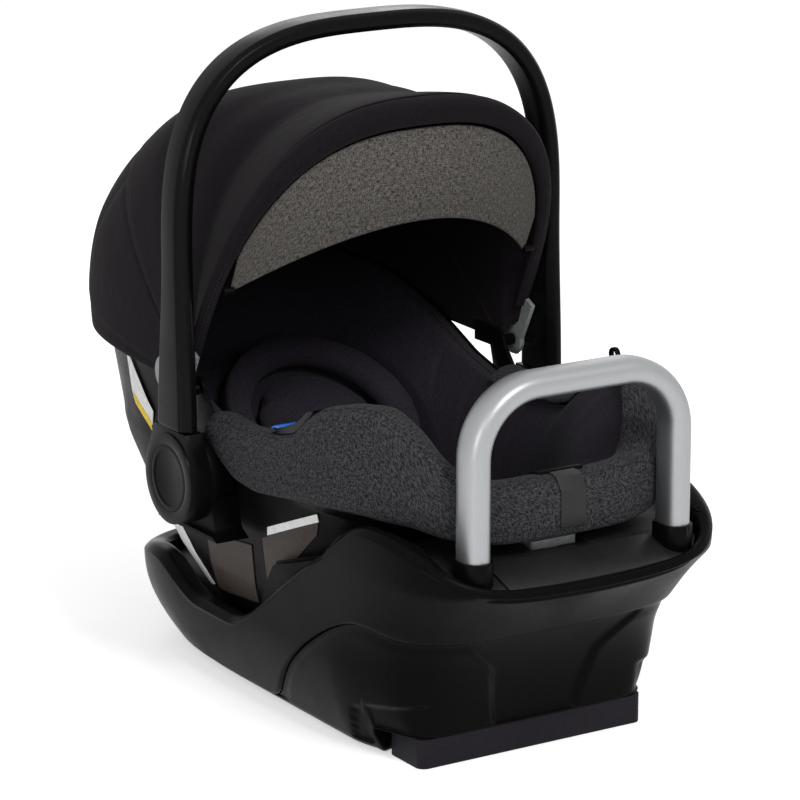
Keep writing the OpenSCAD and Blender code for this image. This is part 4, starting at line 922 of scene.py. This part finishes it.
def make_handle():
    """Carry handle: straight legs and a superelliptic arch, with a section that turns from a broad blade with
    a ridge at the hubs into a rounded oblong at the grip."""
    x0, arch_z, arch_h, neck = 211.5, 436.0, 212.5, 272.0
    a = np.linspace(0, np.pi/2, 900)
    leg = np.stack([np.full(300, x0), np.linspace(neck, arch_z, 300)], axis=1)[:-1]
    arc = np.stack([x0*np.cos(a)**(2/3), arch_z + arch_h*np.sin(a)**(2/3)], axis=1)
    half = np.concatenate([leg, arc])
    line = resample(np.concatenate([half, half[-2::-1]*[-1, 1]]), 260)
    e = ease((line[:, 1] - neck)/170)
    blade = np.array([[1, -.58], [1.06, 0], [1, .60], [.90, .74], [.35, 1], [-.3, 1], [-.88, .80], [-1, .62],
                      [-1, 0], [-1, -.62], [-.88, -.80], [-.3, -1], [.35, -1], [.84, -.74], [.86, -.66]])
    t = np.arctan2(blade[:, 1], blade[:, 0])
    grip = signed_power(np.stack([np.cos(t), np.sin(t)], axis=1), 0.5)
    form = mix(blade[None], grip[None], (0.6*ease((line[:, 1] - 520)/110))[:, None, None])
    form = np.stack([smooth_loop(f, 4) for f in form])
    section = form*np.stack([np.full(len(line), 9.5), mix(30, 19, e)], axis=1)[:, None, :]
    rings = swept_upright(line, mix(0, -4, e), section)
    bar = grid_piece("handle_grip", capped(rings, 2), MATERIALS["handle_plastic"], wrap_cols=True)
    return place(finish_with(bar, 1), "handle", "handle_plastic", "handle_bar")


# ---------------------------------------------------------------- canopy

PIVOT = (24.0, 300.0)
REAR_FORM = [[-10, -11], [10, -10], [30, 12], [45, 23], [57, 40], [67, 55], [74, 59], [83, 58], [89, 46]]
REAR_POWER = [[-6, 2.6], [30, 3.3], [67, 3.35], [89, 3.3]]
ROOF_RADIUS, ROOF_HALF = 286.0, 180.0
HOOP_POWER, HOOP_LEAN, HOOP_RADIUS, HOOP_HALF, HOOP_FOOT = 2.6, -25.4, 317.0, 196.0, 44.0
SEAM_ANGLE = 46.0
ACROSS = 150
FRONT_EDGE = HOOP_LEAN + 2.8
VISOR_HALF, PIN_Y, PIN_Z = 172.0, -32.0, 408.0


def about_pivot(x, angle, radius):
    """Point at an angle behind upright, and a radius, about the canopy's pivots."""
    a = np.radians(angle)
    return np.stack(np.broadcast_arrays(x, PIVOT[0] + radius*np.sin(a), PIVOT[1] + radius*np.cos(a)), axis=-1)


def arch(width, foot, crown, power, angle, count=None):
    """Arch across the canopy: x is a power of the cosine times the half width, the radius goes from its foot
    to its crown by the same power of the sine. With a count, its points lie an equal distance apart."""
    q = np.linspace(0, np.pi, 721 if count else 1201)
    c, s = np.cos(q), np.clip(np.sin(q), 0, 1)
    line = about_pivot(width*signed_power(c, 2/power), angle, mix(foot, crown, s**(2/power)))
    return resample(line, count) if count else line


def canopy_rings(angles, inset=0.0):
    """Arches of the canopy at these angles. Ahead of upright each one flares from the roof's form to the
    hoop's."""
    rings = []
    for a in angles:
        flare = np.clip((-3 - a)/(-3 - FRONT_EDGE), 0, 1)
        crown = mix(ROOF_RADIUS + table(a, REAR_FORM, 3), HOOP_RADIUS - 3, flare**1.5)
        width = mix(ROOF_HALF, HOOP_HALF - 3, flare**1.2)
        foot = mix(10, 22, flare)
        power = mix(table(a, REAR_POWER), HOOP_POWER, flare)
        rings.append(arch(width - inset, foot, crown - inset, power, a, ACROSS))
    return np.stack(rings)


def make_canopy_cloth():
    """Canopy: one sheet from the front hoop over the top to the seam where the folding part ends, and the
    fixed dome behind it, one sheet too."""
    depth = bpy.context.scene.car_seat_cloth.seam_depth
    cloth = MATERIALS["canopy_cloth"]
    angles = np.linspace(FRONT_EDGE, SEAM_ANGLE, 66)
    points = canopy_rings(angles)
    sag = (0.9*np.sin(np.radians(angles*6.1))[:, None]
           * np.sin(np.linspace(0, np.pi, ACROSS)*5)[None, :]*ease((angles + 2)/12)[:, None])
    points[..., 2] += sag
    front = grid_piece("canopy_sheet", points, cloth)
    aim_out(front, (0, *PIVOT))
    finish_with(front, 1, 3.0)
    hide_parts("canopy_front", "canopy_rear")
    tuple(about_pivot(0, SEAM_ANGLE, 250.0)*MM)
    tuple(about_pivot(0, FRONT_EDGE, 250.0)*MM)
    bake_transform(front)
    angles = np.concatenate([np.linspace(SEAM_ANGLE - 1.5, 52, 7), np.linspace(53, 86, 32), [87.5, 89]])
    points = canopy_rings(angles, inset=0.4)
    x = np.linspace(0, 1, ACROSS)
    across = bell(angles, 48.5, 0.7) + bell(angles, 84.5, 0.7)
    along = bell(x, 0.30, 0.006) + bell(x, 0.70, 0.006)
    draw = depth*(across[:, None] + along[None, :]*ease((angles - 48)/3)[:, None])
    ray = points - [0, *PIVOT]
    ray /= np.linalg.norm(ray, axis=2, keepdims=True)
    points -= ray*draw[..., None]
    back = grid_piece("canopy_dome", points, cloth)
    aim_out(back, (0, *PIVOT))
    finish_with(back, 1, 3.2)
    place(back, "carrier", "canopy_cloth", "canopy_back")


def aim_out(obj, centre):
    """Turns the faces of an open sheet away from a point inside it, in millimetres."""
    p = obj.data.polygons[len(obj.data.polygons)//2]
    if p.normal.dot(p.center - Vector(centre)*MM) < 0:
        obj.data.flip_normals()


def make_hoop():
    """Front band of the canopy: a rounded band of cloth on the hoop, closed round its section, with two rows
    of stitches on its face, and the pins of the visor inside it."""
    count, a, e = 190, HOOP_LEAN, 2.2
    half, radius, band = HOOP_HALF, HOOP_RADIUS, 24.0
    side = half - ROOF_HALF - 1.5
    place_at = [(half - 2, radius - 4, a - e*0.7), (half - 0.5, radius - 1, a - 0.9), (half, radius, a),
                (half - 0.4, radius - 0.8, a + 1.1), (half - 2, radius - 3, a + e),
                (half - side*0.5, radius - band*0.5, a + e + 0.15), (half - side + 2, radius - band, a + e),
                (half - side, radius - band, a), (half - side + 1, radius - band + 2, a - e*0.7),
                (half - side*0.5, radius - band*0.55, a - e*0.7 - 0.5)]
    rings = np.stack([arch(w, HOOP_FOOT, r, HOOP_POWER, angle) for w, r, angle in place_at], axis=1)
    run = distance_along(rings[:, 2])
    pick = np.searchsorted(run, np.linspace(0, run[-1], count)).clip(0, len(run) - 1)
    rings = rings[pick]
    band_piece = grid_piece("hoop_band", capped(np.stack([smooth_loop(r, 3) for r in rings]), 4, 2.0),
                            MATERIALS["canopy_cloth"], wrap_cols=True)
    place(finish_with(band_piece, 1), "canopy", "canopy_cloth", "canopy_hoop")
    pitch = bpy.context.scene.car_seat_cloth.stitch_pitch
    face = rings[3:-3, 9]
    lean = math.radians(HOOP_LEAN)
    ahead = np.tile(np.array([0.0, -math.cos(lean), math.sin(lean)]), (len(face), 1))
    for name, share in (("hoop_stitch_outer", 0.30), ("hoop_stitch_inner", 0.62)):
        line = mix(rings[3:-3, 0], rings[3:-3, 8], share) + ahead*0.6
        row = stitches(name, line, ahead, MATERIALS["thread"], pitch)
        place(row, "canopy", "canopy_cloth")
    t = np.linspace(0, 2*np.pi, 25)[:-1]
    for side_x, name in ((-1, "visor_pin_left"), (1, "visor_pin_right")):
        turned = []
        for along, r in ((-6, 3.2), (-5.4, 4.0), (4.6, 4.0), (5.4, 3.4)):
            x = np.full(24, side_x*(VISOR_HALF + along))
            turned.append(np.stack([x, PIN_Y + r*np.cos(t), PIN_Z + r*np.sin(t)], axis=1))
        pin = grid_piece(name, capped(turned, 1), MATERIALS["hub_plastic"], wrap_cols=True, sharp=40)
        place(pin, "canopy", "hub_plastic")


def make_visor():
    """Visor: a crescent sheet inside the hoop. Each strip is a parabola from the lower edge through a hollow
    middle to the line under the hoop, and the lower edge has a turned hem."""
    half = VISOR_HALF - 3.3
    k = np.linspace(-1, 1, 151)
    x = -half*np.sin(k*np.pi/2)
    q = 1 - (x/half)**2
    low = np.stack([x, PIN_Y - 76*q + 3*(1 - q), PIN_Z + 62*q - 3*(1 - q)], axis=1)
    reach = (1 - np.minimum(1, np.abs(x)/(HOOP_HALF - 17))**HOOP_POWER)**(1/HOOP_POWER)
    top = about_pivot(x, HOOP_LEAN - 1.2, mix(HOOP_FOOT, HOOP_RADIUS - 29, reach))
    middle = mix(low, top, 0.5) + np.stack([np.zeros(151), -9*q, 6*q], axis=1)
    high = mix(low, top, 1.03)
    t = np.linspace(0, 1, 30)[:, None, None]
    points = (1 - t)*(1 - 2*t)*low + 4*t*(1 - t)*middle + t*(2*t - 1)*high
    points[..., 1] += 0.9*bell(t[..., 0], 0.10, 0.035)*q
    sheet = grid_piece("visor_sheet", points, MATERIALS["visor_cloth"])
    n = sheet.data.polygons[len(sheet.data.polygons)//2].normal
    if n.y > 0:
        sheet.data.flip_normals()
    finish_with(sheet, 1, 3.2)
    place(sheet, "visor", "visor_cloth", "visor", "visor_ears")


# ---------------------------------------------------------------- carried-over solids

def dress_solids():
    """Solids that stay: welded, given smooth faces, softened edges and the material of their slot."""
    flat = {"deck_screws", "button_springs"}
    for name, obj in NODES.items():
        obj.data.materials.clear()
        obj.data.materials.append(MATERIALS[SLOT_OF[name]])
        if obj.hide_render:
            continue
        smooth_faces(obj.data)
        weld = obj.modifiers.new("Weld", "WELD")
        weld.merge_threshold = 1e-5
        if name not in flat:
            bevel = obj.modifiers.new("Bevel", "BEVEL")
            bevel.width, bevel.segments, bevel.limit_method = 0.8*MM, 2, "ANGLE"
            bevel.angle_limit, bevel.harden_normals = math.radians(32), False
        split = obj.modifiers.new("Edges", "EDGE_SPLIT")
        split.split_angle = math.radians(34)


# ---------------------------------------------------------------- stage

FLOOR_GLOW, SKY_LIGHT = 0.50, 0.52


def seen_by(tree, *rays):
    """1 for these kinds of ray and 0 for the rest."""
    path = wire(tree, "ShaderNodeLightPath")
    seen = path.outputs[rays[0]]
    for ray in rays[1:]:
        either = wire(tree, "ShaderNodeMath", [(0, seen), (1, path.outputs[ray])], operation="MAXIMUM")
        seen = either.outputs[0]
    return seen


def aim(obj, at, way):
    """Puts a lamp or camera at a place, looking along a direction, and links it."""
    obj.location = at
    obj.rotation_euler = Vector(way).to_track_quat("-Z", "Y").to_euler()
    bpy.context.scene.collection.objects.link(obj)


def make_stage():
    """Pale floor and backdrop, soft lamps, and the camera."""
    scene = bpy.context.scene
    mesh = bpy.data.meshes.new("floor")
    z = min(SOLIDS_BOX[0][2], 0.0) - 0.0005
    mesh.from_pydata([(-30, -30, z), (30, -30, z), (30, 30, z), (-30, 30, z)], [], [(0, 1, 2, 3)])
    floor = bpy.data.objects.new("floor", mesh)
    scene.collection.objects.link(floor)
    mat = bpy.data.materials.new("Floor white")
    mat.use_nodes = True
    tree = mat.node_tree
    shader = tree.nodes["Principled BSDF"]
    shader.inputs["Base Color"].default_value = (0.93, 0.93, 0.93, 1)
    shader.inputs["Roughness"].default_value = 0.9
    shader.inputs["Specular IOR Level"].default_value = 0.0
    seen = seen_by(tree, "Is Camera Ray", "Is Glossy Ray")
    glow = wire(tree, "ShaderNodeMath", [(0, seen)], operation="MULTIPLY")
    glow.inputs[1].default_value = FLOOR_GLOW
    shader.inputs["Emission Color"].default_value = (1, 1, 1, 1)
    tree.links.new(glow.outputs[0], shader.inputs["Emission Strength"])
    mesh.materials.append(mat)

    world = scene.world or bpy.data.worlds.new("Studio")
    scene.world = world
    world.use_nodes = True
    tree = world.node_tree
    tree.nodes.clear()
    seen = seen_by(tree, "Is Camera Ray", "Is Glossy Ray", "Is Transmission Ray")
    level = wire(tree, "ShaderNodeMapRange", [("Value", seen)], To_Min=SKY_LIGHT, To_Max=1.0)
    sky = wire(tree, "ShaderNodeBackground", [("Strength", level.outputs["Result"])], Color=(1, 1, 1, 1))
    out = wire(tree, "ShaderNodeOutputWorld")
    tree.links.new(sky.outputs[0], out.inputs["Surface"])

    centre = Vector((0, -0.05, 0.3))
    for name, at, size, power in (("Key", (-0.2, -2.3, 2.4), 0.8, 38.0),
                                  ("Fill", (-2.6, -1.4, 1.1), 0.8, 15.0),
                                  ("Back", (1.3, 2.4, 1.7), 1.1, 9.0)):
        data = bpy.data.lights.new(name, "AREA")
        data.size, data.energy = size, power
        aim(bpy.data.objects.new(name, data), at, centre - Vector(at))

    data = bpy.data.cameras.new("Camera")
    data.lens, data.sensor_width = 175.6, 36.0
    data.clip_end = 60
    camera = bpy.data.objects.new("Camera", data)
    aim(camera, (-1.9618, -3.1591, 1.2782), (0.5168, 0.8150, -0.2620))
    scene.camera = camera
    scene.view_settings.view_transform = "Standard"


# ---------------------------------------------------------------- operators and panel

class SeatOperator(bpy.types.Operator):
    bl_options = {"REGISTER", "UNDO"}

    def execute(self, context):
        if not MATERIALS:
            make_materials()
        self.make()
        return {"FINISHED"}


class CARSEAT_OT_base(SeatOperator):
    """Makes the two base shells with their rolled rim"""
    bl_idname = "car_seat.base_shells"
    bl_label = "Base shells"

    def make(self):
        make_base_lower()
        make_base_upper()


class CARSEAT_OT_bar(SeatOperator):
    """Makes the anti-rebound bar"""
    bl_idname = "car_seat.rebound_bar"
    bl_label = "Anti-rebound bar"

    def make(self):
        make_rebound_bar()


class CARSEAT_OT_shell(SeatOperator):
    """Makes the carrier shell and its plain labels"""
    bl_idname = "car_seat.carrier_shell"
    bl_label = "Carrier shell"

    def make(self):
        make_shell()
        white, brown, yellow = (MATERIALS["label_" + k] for k in ("white", "brown", "yellow"))
        for name, corners, material, lift in (
                ("label_strip", [(140, 130), (104, 138), (64, 84), (92, 74)], white, 0.5),
                ("label_mid", [(44, 147), (-48, 158), (-33, 92), (56, 82)], brown, 0.5),
                ("label_front", [(-72, 172), (-166, 216), (-160, 196), (-62, 104)], brown, 0.5),
                ("label_front_strip", [(-84, 186), (-166, 219), (-166, 211), (-82, 177)], white, 0.9),
                ("label_back", [(190, 306), (128, 252), (134, 236), (176, 252)], white, 0.5),
                ("label_back_band", [(176, 262), (136, 240), (134, 230), (174, 250)], yellow, 0.9)):
            patch_on_shell(name, corners, material, lift)


class CARSEAT_OT_seat(SeatOperator):
    """Makes the liner, pads and straps"""
    bl_idname = "car_seat.seat_pads"
    bl_label = "Liner, pads and straps"

    def make(self):
        make_lining()
        swollen("insert_pad", "seat_insert", 2.0, 5.0, 6.0)
        swollen("head_ring_pad", "head_pad_ring", 2.5, 5.0, 7.0)
        swollen("head_pillow_pad", "head_pillow", 2.0, 4.5, 6.0)
        swollen("shoulder_pad_l", "shoulder_pad_left", 1.2, 4.0, 3.0)
        swollen("shoulder_pad_r", "shoulder_pad_right", 1.2, 4.0, 3.0)
        swollen("crotch_cushion", "crotch_pad", 1.0, 4.0, 3.0)
        rebuilt_strap("harness_web_l", "harness_left", 12.5)
        rebuilt_strap("harness_web_r", "harness_right", 12.5)
        rebuilt_strap("crotch_web", "crotch_strap", 19.0)


class CARSEAT_OT_cover(SeatOperator):
    """Makes the padded rim cover and its stitching"""
    bl_idname = "car_seat.rim_cover"
    bl_label = "Rim cover"

    def make(self):
        make_rim_cover()


class CARSEAT_OT_handle(SeatOperator):
    """Makes the carry handle"""
    bl_idname = "car_seat.handle"
    bl_label = "Carry handle"

    def make(self):
        make_handle()


class CARSEAT_OT_canopy(SeatOperator):
    """Makes the canopy sheets, the hoop band and the visor"""
    bl_idname = "car_seat.canopy"
    bl_label = "Canopy and visor"

    def make(self):
        make_hoop()
        make_canopy_cloth()
        make_visor()


class CARSEAT_OT_solids(SeatOperator):
    """Dresses the solids that stay"""
    bl_idname = "car_seat.solids"
    bl_label = "Carried-over parts"

    def make(self):
        dress_solids()


class CARSEAT_OT_stage(SeatOperator):
    """Makes the floor, the lamps and the camera"""
    bl_idname = "car_seat.stage"
    bl_label = "Stage"

    def make(self):
        make_stage()


class CARSEAT_PT_panel(bpy.types.Panel):
    bl_label = "Infant car seat"
    bl_space_type = "VIEW_3D"
    bl_region_type = "UI"
    bl_category = "Car Seat"

    def draw(self, context):
        for group in (context.scene.car_seat_plastics, context.scene.car_seat_cloth):
            box = self.layout.box()
            for name in group.__annotations__:
                box.prop(group, name)
        for step in STEPS:
            self.layout.operator(step.bl_idname)


STEPS = (CARSEAT_OT_base, CARSEAT_OT_bar, CARSEAT_OT_shell, CARSEAT_OT_seat, CARSEAT_OT_cover,
         CARSEAT_OT_handle, CARSEAT_OT_canopy, CARSEAT_OT_solids, CARSEAT_OT_stage)
CLASSES = (CarSeatPlastics, CarSeatCloth) + STEPS + (CARSEAT_PT_panel,)


def register():
    for c in CLASSES:
        bpy.utils.register_class(c)
    bpy.types.Scene.car_seat_plastics = PointerProperty(type=CarSeatPlastics)
    bpy.types.Scene.car_seat_cloth = PointerProperty(type=CarSeatCloth)


def unregister():
    del bpy.types.Scene.car_seat_cloth
    del bpy.types.Scene.car_seat_plastics
    for c in reversed(CLASSES):
        bpy.utils.unregister_class(c)


def main():
    register()
    for step in STEPS:
        group, name = step.bl_idname.split(".")
        getattr(getattr(bpy.ops, group), name)()


if __name__ == "__main__":
    main()
